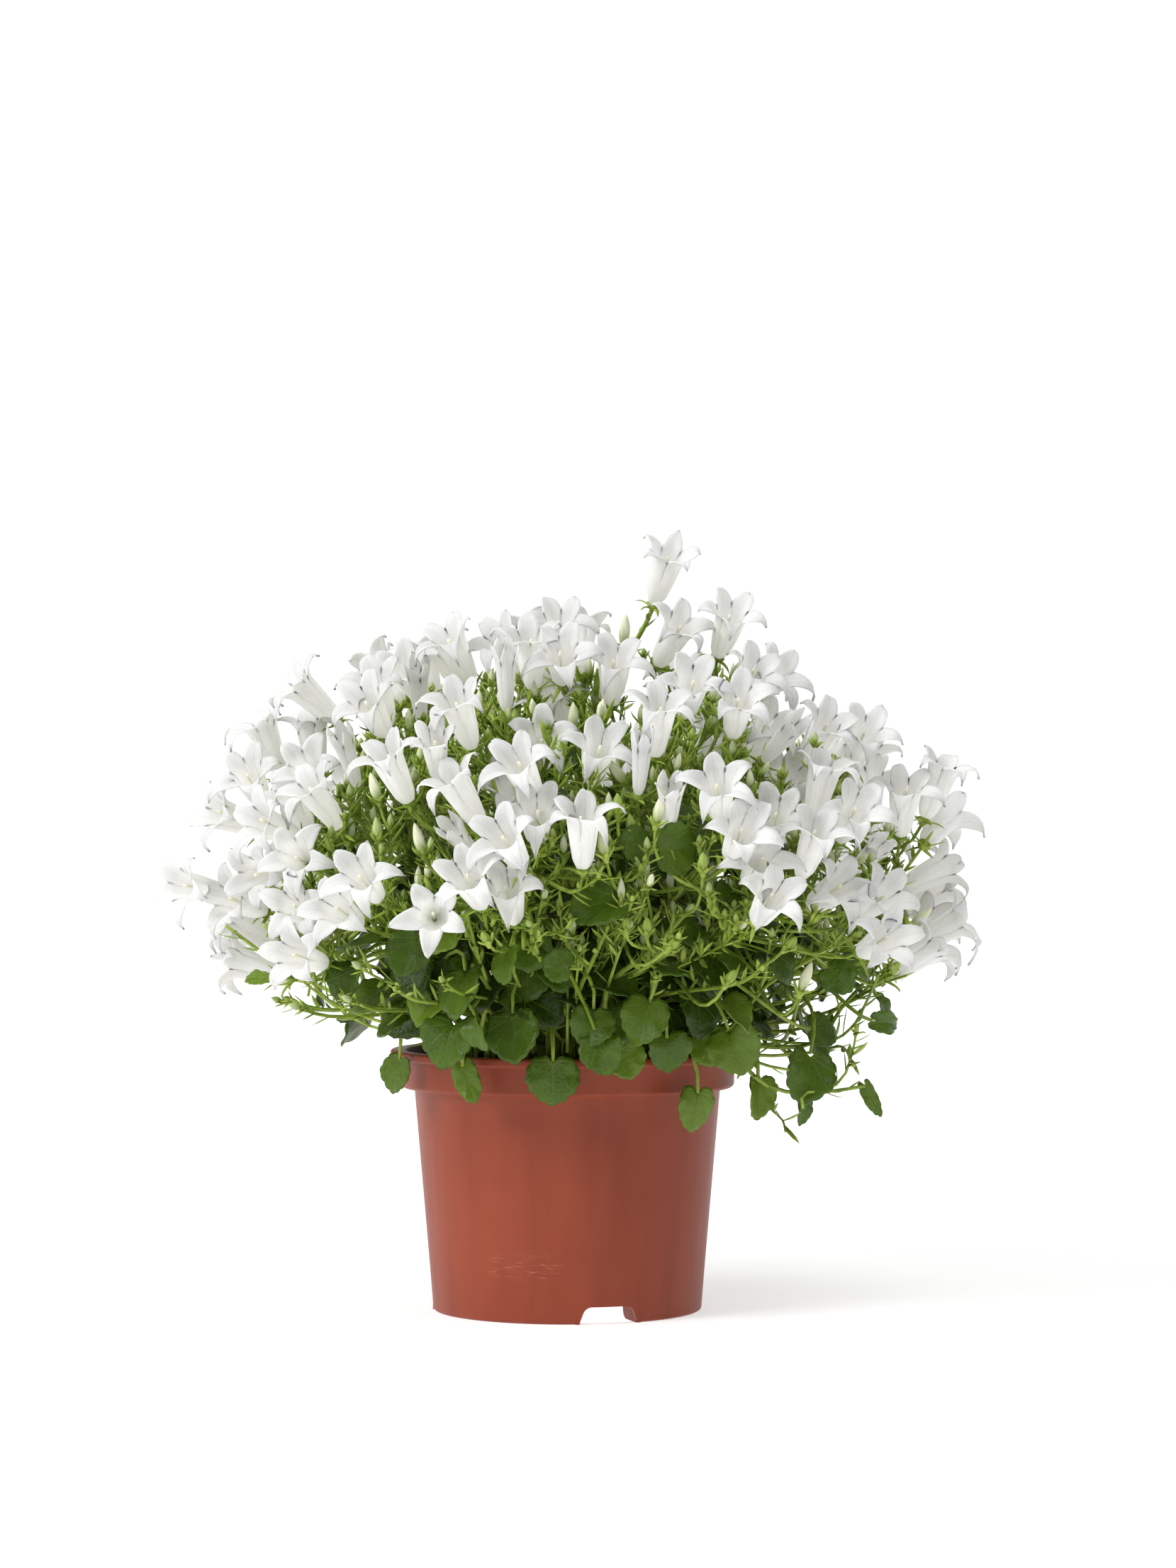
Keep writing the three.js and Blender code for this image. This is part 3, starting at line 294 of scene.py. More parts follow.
# Stems that show in front, in the same view: radius, how far from the pot's axis the stem
# starts and ends, what it ends in, and the places it passes (across, up). It ends in a bud
# of a length, or in a leaf of a width, a turn, a roll and a slimness, or in nothing.
FRONT_STEMS = (
    (0.5, 38, 76, (4,), (1, 90), (-3, 92), (-5, 98), (-4, 108), (-3, 118), (-4, 127)),
    (0.9, 36, 86, (), (2, 90), (3, 101), (4, 108), (9, 119), (14, 130)),
    (0.8, 38, 62, (), (-6, 90), (-4, 95), (3, 107)),
    (0.8, 36, 72, (3,), (-5, 90), (-7, 97), (-14, 100), (-24, 106), (-31, 115)),
    (0.8, 36, 82, (), (-4, 90), (-6, 96), (-13, 106), (-18, 113), (-18, 128)),
    (0.75, 44, 86, (), (-27, 90), (-29, 95), (-27, 106), (-28, 113), (-31, 122), (-34, 134)),
    (0.95, 40, 92, (5,), (13, 90), (13, 97), (13, 108), (17, 113), (24, 118), (32, 125), (40, 134)),
    (0.6, 62, 84, (7,), (13, 104), (14, 110), (17, 119), (20, 127)),
    (0.6, 50, 86, (2,), (14, 91), (16, 95), (23, 99), (28, 104), (30, 112)),
    (0.5, 56, 82, (4,), (0, 92), (0, 108), (0, 118), (0, 125)),
    (0.5, 60, 84, (4,), (3, 102), (3, 110), (4, 121)),
    (0.7, 50, 88, (), (-38, 92), (-45, 104), (-52, 118), (-58, 132)),
    (0.6, 44, 90, (6,), (-12, 92), (-12, 104), (-9, 118), (-10, 131), (-8, 139)),
    (0.7, 46, 96, (5,), (24, 92), (28, 104), (30, 120), (28, 136), (24, 150)),
    (0.6, 46, 94, (4,), (34, 92), (40, 106), (50, 120), (56, 136)),
    (0.8, 48, 96, (), (46, 92), (54, 91), (62, 89.7), (72, 90), (76, 96), (78, 103), (80, 108)),
    (0.6, 47, 90, (), (42, 91), (53, 92.5), (63, 84), (75, 81)),
    (0.75, 46, 104, (14, 302, 20, 0.36), (40, 91), (50, 93.5), (61, 81), (72, 74), (88, 73.6), (101, 75.5)),
    (0.45, 48, 84, (), (44, 91), (53, 93), (62, 80), (69, 68), (73, 64), (74, 60)),
    (0.8, 50, 108, (5,), (44, 91), (54, 92), (65, 89), (84, 90), (93, 102), (101, 111), (109, 121)),
    (0.7, 50, 92, (5,), (46, 91), (55, 94), (63, 105), (67, 113), (69, 126)),
    (0.7, 50, 104, (4,), (40, 91), (55, 95), (67, 109), (80, 117), (97, 126)),
    (0.6, 48, 104, (3,), (42, 91), (53, 92), (64, 86), (84, 87), (93, 89), (97, 83)),
    (0.5, 92, 108, (3,), (80, 73), (88, 74), (94, 79), (97, 88), (98, 94)),
    (0.7, 48, 100, (4,), (38, 92), (52, 98), (72, 104), (88, 108), (98, 115)),
    (0.75, 50, 120, (), (-44, 92), (-58, 99), (-79, 107), (-98, 117), (-116, 130)),
    (0.45, 90, 112, (11, 180, 30, 0.4), (-88, 111), (-96, 112), (-102, 112)),
    (0.6, 48, 104, (4,), (-40, 92), (-52, 95), (-66, 98), (-80, 104), (-88, 112)),
    (0.65, 48, 112, (4,), (42, 92), (59, 94), (72, 101), (83, 106), (96, 113), (105, 119), (113, 124)),
    (0.6, 50, 110, (), (44, 91), (56, 93), (77, 90), (90, 91), (97, 96), (101, 103), (106, 114)),
    (0.6, 44, 98, (), (38, 92), (50, 95), (67, 104), (77, 115), (88, 124), (96, 129)),
    (0.6, 48, 110, (4,), (42, 91), (54, 93), (80, 95), (92, 102), (101, 108), (109, 115)),
    (0.55, 40, 98, (), (38, 92), (50, 95), (74, 99), (88, 110), (98, 120)),
    (0.6, 42, 86, (4,), (36, 92), (50, 98), (62, 106), (68, 114), (77, 121)),
    (0.6, 50, 116, (), (45, 91), (60, 95), (83, 99), (96, 104), (106, 110), (115, 113)),
    (0.55, 46, 92, (), (43, 90), (56, 96), (68, 97), (80, 103), (88, 114), (92, 126)),
    (0.6, 48, 96, (3,), (-36, 91), (-50, 94), (-64, 103), (-76, 116), (-84, 128)),
    (0.55, 46, 104, (), (-34, 90), (-50, 92), (-70, 97), (-86, 108), (-100, 120)),
)

# Young shoots in front: where the tip shows (across, up), and the length of its bud
FRONT_SHOOTS = (
    (-30, 203, 7), (-10, 206, 4), (-1, 190, 6), (-20, 199, 5), (12, 199, 8), (19, 194, 5), (-50, 185, 6),
    (-74, 173, 5), (-35, 147, 5), (14, 157, 4), (14, 168, 7), (27, 155, 5), (-5, 159, 4), (4, 207, 4),
    (-27, 192, 5), (-52, 178, 6), (-60, 163, 5), (56, 187, 6), (73, 180, 4), (62, 176, 7), (38, 186, 5),
    (29, 178, 6), (-80, 160, 4), (103, 150, 5), (84, 134, 6),
    (-22, 158, 6), (48, 140, 5), (-44, 134, 4), (70, 152, 6), (92, 168, 5), (98, 140, 4), (81, 161, 5),
    (110, 135, 4), (66, 165, 4), (50, 165, 5), (76, 142, 4), (-38, 170, 5), (-14, 173, 4), (8, 180, 5),
    (45, 173, 5), (-42, 196, 5), (-63, 183, 4), (-6, 197, 5), (41, 200, 5), (52, 201, 4), (-16, 213, 4),
)


def seeded_random(seed):
    """Draws numbers from 0 to 1 in an order fixed by the seed"""
    state = seed
    word = 0xFFFFFFFF

    def draw():
        nonlocal state
        state = (state + 0x6D2B79F5) & word
        mixed = ((state ^ (state >> 15)) * (1 | state)) & word
        mixed = ((mixed + (mixed ^ (mixed >> 7)) * (61 | mixed)) & word) ^ mixed
        return (mixed ^ (mixed >> 14)) / 4294967296

    return draw


def mix(low, high, share):
    return low + (high - low) * share


def clamp(value, low, high):
    return max(low, min(high, value))


def smooth(share):
    share = clamp(share, 0, 1)
    return share * share * (3 - 2 * share)


def frame_along(axis, spin=0.0):
    """Three directions, the third along an axis, turned about it"""
    side = Vector((1, 0, 0)) if abs(axis.z) > 0.9 else UP
    x = side.cross(axis).normalized()
    x.rotate(Quaternion(axis, spin))
    return x, axis.cross(x), axis.copy()


def place(origin, axes, x, y, z):
    return origin + axes[0] * x + axes[1] * y + axes[2] * z


def spoke(axes, angle):
    """The way that an angle points across an axis"""
    return axes[0] * math.cos(angle) + axes[1] * math.sin(angle)


def around(angle, radius, height):
    """A place by its angle about the pot's axis, its distance from it and its height"""
    return Vector((radius * math.cos(angle), radius * math.sin(angle), height))


def away_from_axis(point):
    return Vector((point.x, point.y, 0)).normalized()


def flattened(way, normal):
    """A way laid flat across another one"""
    return (way - normal * way.dot(normal)).normalized()


def golden_share(k):
    """Shares from 0 to 1 that keep clear of each other however many are drawn"""
    return (k * GOLDEN_TURN) % 1


class Course:
    """A smooth curve through space, from four guiding points"""

    def __init__(self, *guides):
        self.guides = guides

    def at(self, t):
        a, b, c, d = self.guides
        s = 1 - t
        return a * s ** 3 + b * (3 * s * s * t) + c * (3 * s * t * t) + d * t ** 3

    def heading(self, t):
        a, b, c, d = self.guides
        s = 1 - t
        return ((b - a) * (s * s) + (c - b) * (2 * s * t) + (d - c) * (t * t)).normalized()

    def length(self, steps=200):
        points = [self.at(k / steps) for k in range(steps + 1)]
        return sum((q - p).length for p, q in zip(points, points[1:]))

    def stations(self, steps):
        """Places along the curve with directions carried along it without a twist"""
        made = []
        axes = None
        for k in range(steps + 1):
            heading = self.heading(k / steps)
            if axes is None:
                axes = frame_along(heading)
            else:
                x = flattened(axes[0], heading)
                axes = (x, heading.cross(x), heading)
            made.append((self.at(k / steps), axes))
        return made


class Trail(Course):
    """A smooth curve through a row of points"""

    def __init__(self, *points):
        before = points[0] * 2 - points[1]
        after = points[-1] * 2 - points[-2]
        self.points = (before, *points, after)

    def at(self, t):
        span = clamp(t, 0, 1) * (len(self.points) - 3)
        k = min(int(span), len(self.points) - 4)
        a, b, c, d = self.points[k:k + 4]
        s = span - k
        curved = (a * 2 - b * 5 + c * 4 - d) * s ** 2 + (b * 3 - a - c * 3 + d) * s ** 3
        return (b * 2 + (c - a) * s + curved) * 0.5

    def heading(self, t):
        return (self.at(min(t + 0.01, 1)) - self.at(max(t - 0.01, 0))).normalized()


# Layout

def from_view(across, up, y):
    """Front view to space: what lies at a depth looks larger or smaller about the view's centre"""
    scale = 1 + y / VIEW_DISTANCE
    return Vector((VIEW_X + (across - VIEW_X) * scale, y, VIEW_Z + (up - VIEW_Z) * scale))


def on_front(across, up, reach):
    """The place in front at a distance from the pot's axis"""
    return from_view(across, up, -math.sqrt(max(0, reach ** 2 - across ** 2)))


def mound_depth(across, up):
    x = (across - MOUND_CENTRE.x) / MOUND_HALF_WIDTH
    z = (up - MOUND_CENTRE.z) / (MOUND_HEIGHT if up > MOUND_CENTRE.z else MOUND_DROP)
    return MOUND_HALF_DEPTH * math.sqrt(max(0, 1 - x * x - z * z))


def mound_point(azimuth, rise, share=1.0):
    height = MOUND_HEIGHT if math.sin(rise) > 0 else MOUND_DROP
    return Vector((
        MOUND_CENTRE.x + share * MOUND_HALF_WIDTH * math.cos(rise) * math.cos(azimuth),
        share * MOUND_HALF_DEPTH * math.cos(rise) * math.sin(azimuth),
        MOUND_CENTRE.z + share * height * math.sin(rise),
    ))


def mound_normal(point):
    height = MOUND_HEIGHT if point.z > MOUND_CENTRE.z else MOUND_DROP
    return Vector((
        (point.x - MOUND_CENTRE.x) / MOUND_HALF_WIDTH ** 2,
        point.y / MOUND_HALF_DEPTH ** 2,
        (point.z - MOUND_CENTRE.z) / height ** 2,
    )).normalized()


def front_bloom(across, up, mouth_across, mouth_up, nearness, open_share=1):
    y = -mound_depth(across, up) * nearness
    scale = 1 + y / VIEW_DISTANCE
    slant = Vector(((mouth_across - across) * scale, 0, (mouth_up - up) * scale))
    if slant.length > TUBE_LENGTH * MOST_SLANT:
        slant.length = TUBE_LENGTH * MOST_SLANT
    away = 1 if nearness < 0 else -1
    slant.y = away * math.sqrt(TUBE_LENGTH ** 2 - slant.length_squared)
    return {"base": from_view(across, up, y), "axis": slant.normalized(), "open": open_share}


def lay_out_blooms():
    """Where each bloom starts, which way it faces, and how it is open"""
    random = seeded_random(BLOOM_SEED)
    blooms = [front_bloom(*entry) for entry in (TOP_BLOOM, *FRONT_BLOOMS)]
    blooms[0].update(TOP_BLOOM_FORM)
    for i in range(BACK_BUNCHES):
        azimuth = math.radians(mix(*BACK_SPAN, golden_share(i)))
        rise = math.asin(mix(*BACK_RISES, (i + 0.5) / BACK_BUNCHES))
        middle = mound_point(azimuth, rise, 0.98)
        outward = mound_normal(middle)
        axes = frame_along(outward, random() * FULL_TURN)
        for k in range(BUNCH_BLOOMS):
            turn = FULL_TURN * k / BUNCH_BLOOMS
            base = place(middle, axes, BUNCH_RADIUS * math.cos(turn), BUNCH_RADIUS * math.sin(turn), 0)
            lean = Vector((random() - 0.5, random() - 0.5, mix(0.2, 0.7, random())))
            blooms.append({"base": base, "axis": (outward + lean).normalized(), "open": 1})
    crowd(blooms)
    level = frame_along(blooms[0]["axis"])
    blooms[0]["spin"] = math.atan2(level[1].y, level[0].y)
    return blooms


def lay_out_fillers(blooms):
    """More blooms between the bunches at the back, where they leave room"""
    random = seeded_random(FILLER_SEED)
    fillers = []
    for k in range(FILLER_TRIES):
        azimuth = math.radians(mix(*FILLER_SPAN, golden_share(k)))
        rise = math.asin(mix(*FILLER_RISES, (k * GOLDEN_TURN * GOLDEN_TURN + random() * 0.1) % 1))
        base = mound_point(azimuth, rise, mix(0.9, 1.0, random()))
        lean = Vector((random() - 0.5, random() - 0.5, mix(0.3, 1.2, random())))
        axis = (mound_normal(base) + lean * 0.8).normalized()
        filler = {"base": base, "axis": axis, "open": 1 if random() < 0.8 else 0.4, "spin": 6 * random()}
        way = nearest_bell(blooms + fillers, filler)
        if way.length > FILLER_SPACING and FILLER_LOWEST < base.z < FILLER_HIGHEST:
            fillers.append(filler)
    return fillers


def nearest_bell(blooms, bloom):
    def middle(one):
        return one["base"] + one["axis"] * (TUBE_LENGTH + 2)

    here = middle(bloom)
    ways = [middle(other) - here for other in blooms if other is not bloom]
    return min(ways, key=lambda way: way.length_squared)


def crowd(blooms):
    """Neighbours below the top bloom crowd until their lobes just touch, and every bloom
    turns a lobe to its nearest neighbour"""
    for _ in range(NUDGE_ROUNDS):
        for bloom in blooms[1:]:
            way = nearest_bell(blooms, bloom)
            gap = way.length
            wanted = max(gap - BELL_SPACING_MAX, 0) + min(gap - BELL_SPACING_MIN, 0)
            bloom["base"] = bloom["base"] + way.normalized() * clamp(wanted, -BELL_NUDGE, BELL_NUDGE)
    for bloom in blooms:
        way = nearest_bell(blooms, bloom)
        x, y, _ = frame_along(bloom["axis"])
        bloom["spin"] = math.atan2(way.dot(y), way.dot(x))


def skin_of(node):
    """The surface of a CAD node, in millimetres"""
    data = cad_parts[node].data
    points = [vertex.co / MM for vertex in data.vertices]
    return BVHTree.FromPolygons(points, [tuple(face.vertices) for face in data.polygons])


def gap_to(skin, point):
    return skin.find_nearest(point)[3]


def nearest_node(skins, point):
    return min(skins, key=lambda name: gap_to(skins[name], point))


def stem_course(azimuth, rise, share):
    """The course of a stem: straight up out of the soil, then arching out to its head"""
    head = mound_point(azimuth, rise, share)
    ring = mix(ROOT_RING_MAX, ROOT_RING_MIN, max(0, math.sin(rise)))
    root = around(azimuth, ring, SOIL_TOP + STEM_FOOT)
    reach = (head - root).length
    outward = (mound_normal(head) + UP * 0.7).normalized()
    return Course(root, root + UP * (reach * 0.35), head - outward * (reach * 0.3), head)


def find_stem(k, skin):
    """The course of a stem, as its node runs"""
    turn = FULL_TURN * golden_share(k)
    level = math.asin(mix(*STEM_RISES, (k + 0.5) / STEM_COUNT))
    courses = [
        stem_course(turn + math.radians(twist), level, share)
        for share in STEM_COURSES
        for twist in STEM_TWISTS
    ]
    return min(courses, key=lambda course: sum(gap_to(skin, course.at(t)) for t in (0, 0.33, 0.66, 1)))


def footholds_of(course):
    count = round(course.length() / FOOTHOLD_STEP)
    shares = [mix(0.1, 0.985, k / (count - 1)) for k in range(count)]
    return [(course.at(t), course.heading(t)) for t in shares]


def stalk_course(foothold, end, arrival, bow):
    start, heading = foothold
    way = end - start
    gap = way.length
    leaving = (way / gap + heading * 0.5).normalized()
    return Course(start, start + leaving * (gap * 0.35), end - arrival * (gap * bow), end)


def stalk_miss(course, skin):
    """How far a stalk's course lies from its node's surface"""
    knees = [0, 0.5, 1] if (course.at(1) - course.at(0)).length > LONG_STALK else [0, 1]
    points = [course.at(t) for t in knees]
    checks = [p.lerp(q, share) for p, q in zip(points, points[1:]) for share in (0.3, 0.6, 0.9)]
    return sum(gap_to(skin, point) for point in checks) / len(checks)


def find_stalk(stems, end, arrival):
    """The stem and course by which a piece hangs on its node, or the smoothest where it has none"""
    skins = {name: stem["skin"] for name, stem in stems.items()}
    name = nearest_node(skins, end)
    hung = gap_to(skins[name], end) < HELD_WITHIN
    best = None
    for one in [name] if hung else sorted(stems):
        for foothold in stems[one]["footholds"]:
            way = end - foothold[0]
            gap = way.length
            if gap <= SHORTEST_STALK:
                continue
            bend = 2 - (arrival + foothold[1]).dot(way / gap)
            for bow in BOWS:
                course = stalk_course(foothold, end, arrival, bow)
                if hung:
                    cost = stalk_miss(course, skins[one]) + HUNG_BEND_COST * max(0, bend - 1)
                else:
                    cost = gap + LOOSE_BEND_COST * bend
                if best is None or cost < best[0]:
                    best = (cost, one, course)
    return best[1], best[2]


# Meshes

def freed_data(name, mesh):
    """A bmesh as mesh data, which ends the bmesh"""
    data = bpy.data.meshes.new(name)
    mesh.to_mesh(data)
    mesh.free()
    return data


def merge(mesh, other):
    """Adds one bmesh to another, and ends it"""
    data = freed_data("part", other)
    mesh.from_mesh(data)
    bpy.data.meshes.remove(data)


def new_object(name, data):
    made = bpy.data.objects.new(name, data)
    bpy.context.scene.collection.objects.link(made)
    return made


def object_of(name, mesh):
    """An object made of a bmesh, which ends the bmesh"""
    return new_object(name, freed_data(name, mesh))


def add_piece(name, data, material, nodes, sheet=0.0):
    """A piece in metres, which rides on the root and stands for its CAD nodes"""
    data.materials.append(material)
    made = new_object(name, data)
    if sheet:
        solid = made.modifiers.new("sheet", "SOLIDIFY")
        solid.thickness = sheet * MM
        solid.offset = -1
    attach(made, "root")
    if nodes:
        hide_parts(*nodes)


class Growth:
    """A mesh under construction, in millimetres. Each vertex also holds how far along its part
    it lies, how far across, and the part's tone, which for the leaves low in the plant stands for painted
    shade."""

    LAYERS = ("along", "across", "tone")

    def __init__(self):
        self.mesh = bmesh.new()
        for name in self.LAYERS:
            self.mesh.verts.layers.float.new(name)

    def sheet(self, columns, rows, form):
        """A grid bent to a form, which turns shares across and along into a place and values"""
        part = Growth()
        layers = [part.mesh.verts.layers.float[name] for name in self.LAYERS]
        bmesh.ops.create_grid(part.mesh, x_segments=columns, y_segments=rows, size=0.5)
        for vertex in part.mesh.verts:
            vertex.co, *values = form(vertex.co.x + 0.5, vertex.co.y + 0.5)
            for layer, value in zip(layers, values):
                vertex[layer] = value
        bmesh.ops.remove_doubles(part.mesh, verts=part.mesh.verts, dist=WELD)
        self.take(part)

    def take(self, other):
        """Adds another growth to this one, and ends it"""
        merge(self.mesh, other.mesh)

    def tube(self, course, steps, sides, width, tone, flat=1.0, turn=0.0):
        """A tapering shoot with closed ends; width gives its radius at a share of the way"""
        stations = course.stations(steps)

        def form(u, v):
            row = round(v * (steps + 2))
            at = clamp(row - 1, 0, steps)
            origin, axes = stations[at]
            angle = FULL_TURN * u + turn
            radius = width(at / steps) if 0 < row < steps + 2 else 0
            point = place(origin, axes, radius * math.cos(angle), radius * flat * math.sin(angle), 0)
            return point, at / steps, u, tone

        self.sheet(sides, steps + 2, form)

    def piece(self, name, material, slot, nodes, sheet=0.0):
        """Finishes the growth as a piece"""
        bmesh.ops.scale(self.mesh, vec=(MM, MM, MM), verts=self.mesh.verts)
        for face in self.mesh.faces:
            face.smooth = True
        add_piece(name, freed_data(name, self.mesh), material, nodes, sheet)


# Parts of the plant

def tube_point(t):
    """Radius and height of the bell's tube at a share of its length"""
    if t < FOOT_SHARE:
        s = t / FOOT_SHARE
        return THROAT_RADIUS * (1 - (1 - s) ** 1.6), mix(0.3, FOOT_HEIGHT, s ** 1.4)
    s = (t - FOOT_SHARE) / (1 - FOOT_SHARE)
    flare = mix(THROAT_RADIUS, MOUTH_RADIUS, s ** 1.3) + 0.3 * math.sin(math.pi * s)
    return flare, mix(FOOT_HEIGHT, TUBE_LENGTH, s)


def lobe_course(curl):
    """The midline of a lobe past the mouth, in the bell's radius and height"""
    return Course(*(
        Vector((mix(shut[0], curled[0], curl), 0, mix(shut[1], curled[1], curl)))
        for shut, curled in zip(SHUT_LOBE, CURLED_LOBE)
    ))


def lobe_half_width(s):
    """Half the width of a lobe at a share of its way from where it parts to its tip"""
    return 2.8 * (1 - s ** 2.5) + 1.25 * math.sin(math.pi * s ** 0.82)


def add_bell(growth, bloom, random):
    """A bell: a pleated tube, and five pointed lobes that part below its mouth and curl back"""
    axes = frame_along(bloom["axis"], bloom["spin"])
    girth = mix(SHUT_GIRTH, 1, bloom["open"])
    shape = seeded_random(int(bloom["base"].x * 7 + bloom["base"].z * 13) + LOBE_SEED)
    tone = shape()
    rows = JOINED_ROWS + PARTED_ROWS + SPREAD_ROWS
    sector = math.pi / LOBES
    for k in range(LOBES):
        angle = FULL_TURN * k / LOBES
        out = spoke(axes, angle)
        aside = axes[1] * math.cos(angle) - axes[0] * math.sin(angle)
        if "curls" in bloom:
            share = mix(smooth(1.05 - 1.1 * out.y), random(), 0.05)
        else:
            share = mix(clamp(0.62 - 1.2 * out.z * max(0, axes[2].z), 0, 1), random(), 0.45)
        curl = mix(*bloom.get("curls", (LEAST_CURL, MOST_CURL)), share) * bloom["open"]
        midline = lobe_course(curl)
        sway = mix(-1.6, 1.6, shape())
        twist = mix(-0.35, 0.35, shape())
        wave = mix(0, FULL_TURN, shape())

        def form(u, v):
            side = 2 * u - 1
            row = round(v * rows)
            pleat = 0.2 * math.cos(math.pi * side)
            if row <= JOINED_ROWS + PARTED_ROWS:
                if row <= JOINED_ROWS:
                    radius, height = tube_point(PARTING * (row / JOINED_ROWS) ** 1.6)
                    reach = sector
                else:
                    t = (row - JOINED_ROWS) / PARTED_ROWS
                    radius, height = tube_point(mix(PARTING, 1, t))
                    reach = min(lobe_half_width(MOUTH_SHARE * t) / radius, 0.96 * sector)
                radius += pleat * smooth(radius / THROAT_RADIUS - 0.2)
                lateral = radius * math.sin(side * reach)
                radius = radius * math.cos(side * reach)
            else:
                s = (row - JOINED_ROWS - PARTED_ROWS) / SPREAD_ROWS
                centre = midline.at(s)
                heading = midline.heading(s)
                half = min(lobe_half_width(mix(MOUTH_SHARE, 1, s)), centre.x * sector * mix(0.96, 1.4, s))
                bend = mix(1 / MOUTH_RADIUS, -0.07, smooth(s * 1.3))
                lateral = side * half
                shift = 0.5 * lateral * lateral * bend - pleat * (1 - s)
                shift -= 0.16 * s * math.exp(-(side / 0.3) ** 2)
                shift -= 0.45 * s * side * side * math.sin(7 * s + wave + side) - lateral * twist * s
                lateral += sway * s * s
                radius = centre.x - heading.z * shift
                height = centre.z + heading.x * shift
            point = bloom["base"] + out * (radius * girth) + axes[2] * height + aside * (lateral * girth)
            return point, v, side, tone

        growth.sheet(LOBE_COLUMNS, rows, form)
    bmesh.ops.remove_doubles(growth.mesh, verts=growth.mesh.verts, dist=LOBE_WELD)


def add_style(growth, bloom):
    """The slender style in the throat, with a club at its tip"""
    axes = frame_along(bloom["axis"], bloom["spin"])
    foot = bloom["base"]
    lean = axes[0] * 0.5 + axes[1] * 0.3
    course = Course(*(foot + axes[2] * height + lean * share for height, share in
                      ((3, 0), (8, 0), (14, 1), (18.6, 1))))

    def width(v):
        return 0.3 + 0.4 * math.sin(math.pi * 0.9 * clamp((v - 0.72) / 0.28, 0, 1))

    growth.tube(course, 9, 6, width, 0.5)


def add_calyx(growth, base, axis, random, reach=8.2, lift=(-0.3, 0.6), cup_radius=2.6, fine=True):
    """A cup and narrow sepals, which spread or clasp by their lift"""
    axes = frame_along(axis, random() * FULL_TURN)
    tone = random()
    steps, sides, sepals = (5, 4, 5) if fine else (2, 3, 4)
    cup = Course(*(place(base, axes, 0, 0, height) for height in (-2.6, -1.6, -0.4, 1.0)))

    def cup_width(v):
        return mix(STALK_RADIUS, cup_radius, smooth(v * 1.15)) if v < 0.95 else 0.5

    def sepal_width(v):
        return 0.1 + (1 - v) ** 0.65

    growth.tube(cup, steps, 8 if fine else 5, cup_width, tone)
    for k in range(sepals):
        out = spoke(axes, FULL_TURN * (k + 0.3 * random()) / sepals)
        length = reach * mix(0.72, 1.1, random())
        rise = mix(*lift, random())
        course = Course(
            base + out * cup_radius * 0.5 - axis * 0.8,
            base + out * mix(cup_radius, length, 0.3) + axis * (0.2 + rise * length * 0.2),
            base + out * mix(cup_radius, length, 0.65) + axis * (0.4 + rise * length * 0.55),
            base + out * length * math.sqrt(max(0.04, 1 - rise * rise)) + axis * (rise * length - 0.4),
        )
        growth.tube(course, steps, sides, sepal_width, tone, 0.4, math.pi / 4)


def add_bud(growth, foot, axis, length, radius, random, ripeness, fine=True):
    """A spindle-shaped bud with twisted pleats, greener when less ripe"""
    axes = frame_along(axis)
    ripple = mix(0.05, 0.12, random())

    def form(u, v):
        angle = FULL_TURN * u
        swell = math.sin(math.pi * v ** 0.8) ** 0.75 if 0 < v < 1 else 0
        wide = radius * max(swell, 0.001) * (1 + ripple * math.cos(5 * (angle + 1.2 * v)))
        point = place(foot, axes, wide * math.cos(angle), wide * math.sin(angle), length * v)
        return point, v, u, ripeness

    growth.sheet(15 if fine else 7, 9 if fine else 4, form)


def leaf_ways(middle, turn, tilt):
    """The way a leaf's upper face looks and the way its tip points, where it hangs round the pot"""
    outward = away_from_axis(middle)
    if middle.y < 0:
        outward = (outward + Vector((0, -1.1, 0))).normalized()
    normal = outward * math.cos(tilt) + UP * math.sin(tilt)
    right = UP.cross(outward).normalized()
    rise = normal.cross(right)
    return normal, right * math.cos(turn) + rise * math.sin(turn)


def add_blade(growth, foot, normal, tip_way, width, random, fine=True, slim=1.0):
    """A round, heart-based blade with a scalloped edge, folded a little along its midrib"""
    axes = (tip_way, normal.cross(tip_way), normal)
    columns, rings = (4 * LEAF_TEETH, 6) if fine else (2 * LEAF_TEETH, 3)
    half = width / 2
    # Leaves low among the stems get the lowest tones, which the finish paints dark as shade
    tone = mix(0.3, 1, random()) if fine else mix(0, 0.3, random())
    fold = mix(0.05, 0.6, random() ** 1.3)
    droop = mix(-0.1, 0.5, random())
    curl = mix(-0.35, 0.35, random())
    wave = mix(0, FULL_TURN, random())
    length = mix(0.94, 1.12, random())

    def form(u, v):
        angle = -FULL_TURN * u
        off_tip = abs(math.remainder(angle, FULL_TURN))
        edge = 1 - 0.4 * math.exp(-((math.pi - off_tip) / 0.3) ** 2)
        edge *= 1 + 0.075 * (abs(math.cos(LEAF_TEETH / 2 * angle)) ** 0.8 - 0.5) * smooth(2.5 * v - 1.5)
        edge *= 1 - 0.07 * math.cos(angle) + 0.14 * math.exp(-(off_tip / 0.42) ** 2)
        along = 0.6 + v * edge * math.cos(angle)
        aside = v * edge * math.sin(angle) * 1.03 * slim
        lift = fold * abs(aside) ** 1.3 - droop * along * along * 0.5 + curl * aside * along
        lift += 0.08 * v * v * math.sin(3 * angle + wave) + 0.04 * v ** 3 * math.sin(7 * angle + 2 * wave)
        lift += 0.02 * math.cos(12 * math.atan2(aside, along + 0.1)) * v
        point = place(foot, axes, half * length * along, half * aside, half * lift)
        return point, along / 1.7, aside, tone

    growth.sheet(columns, rings, form)


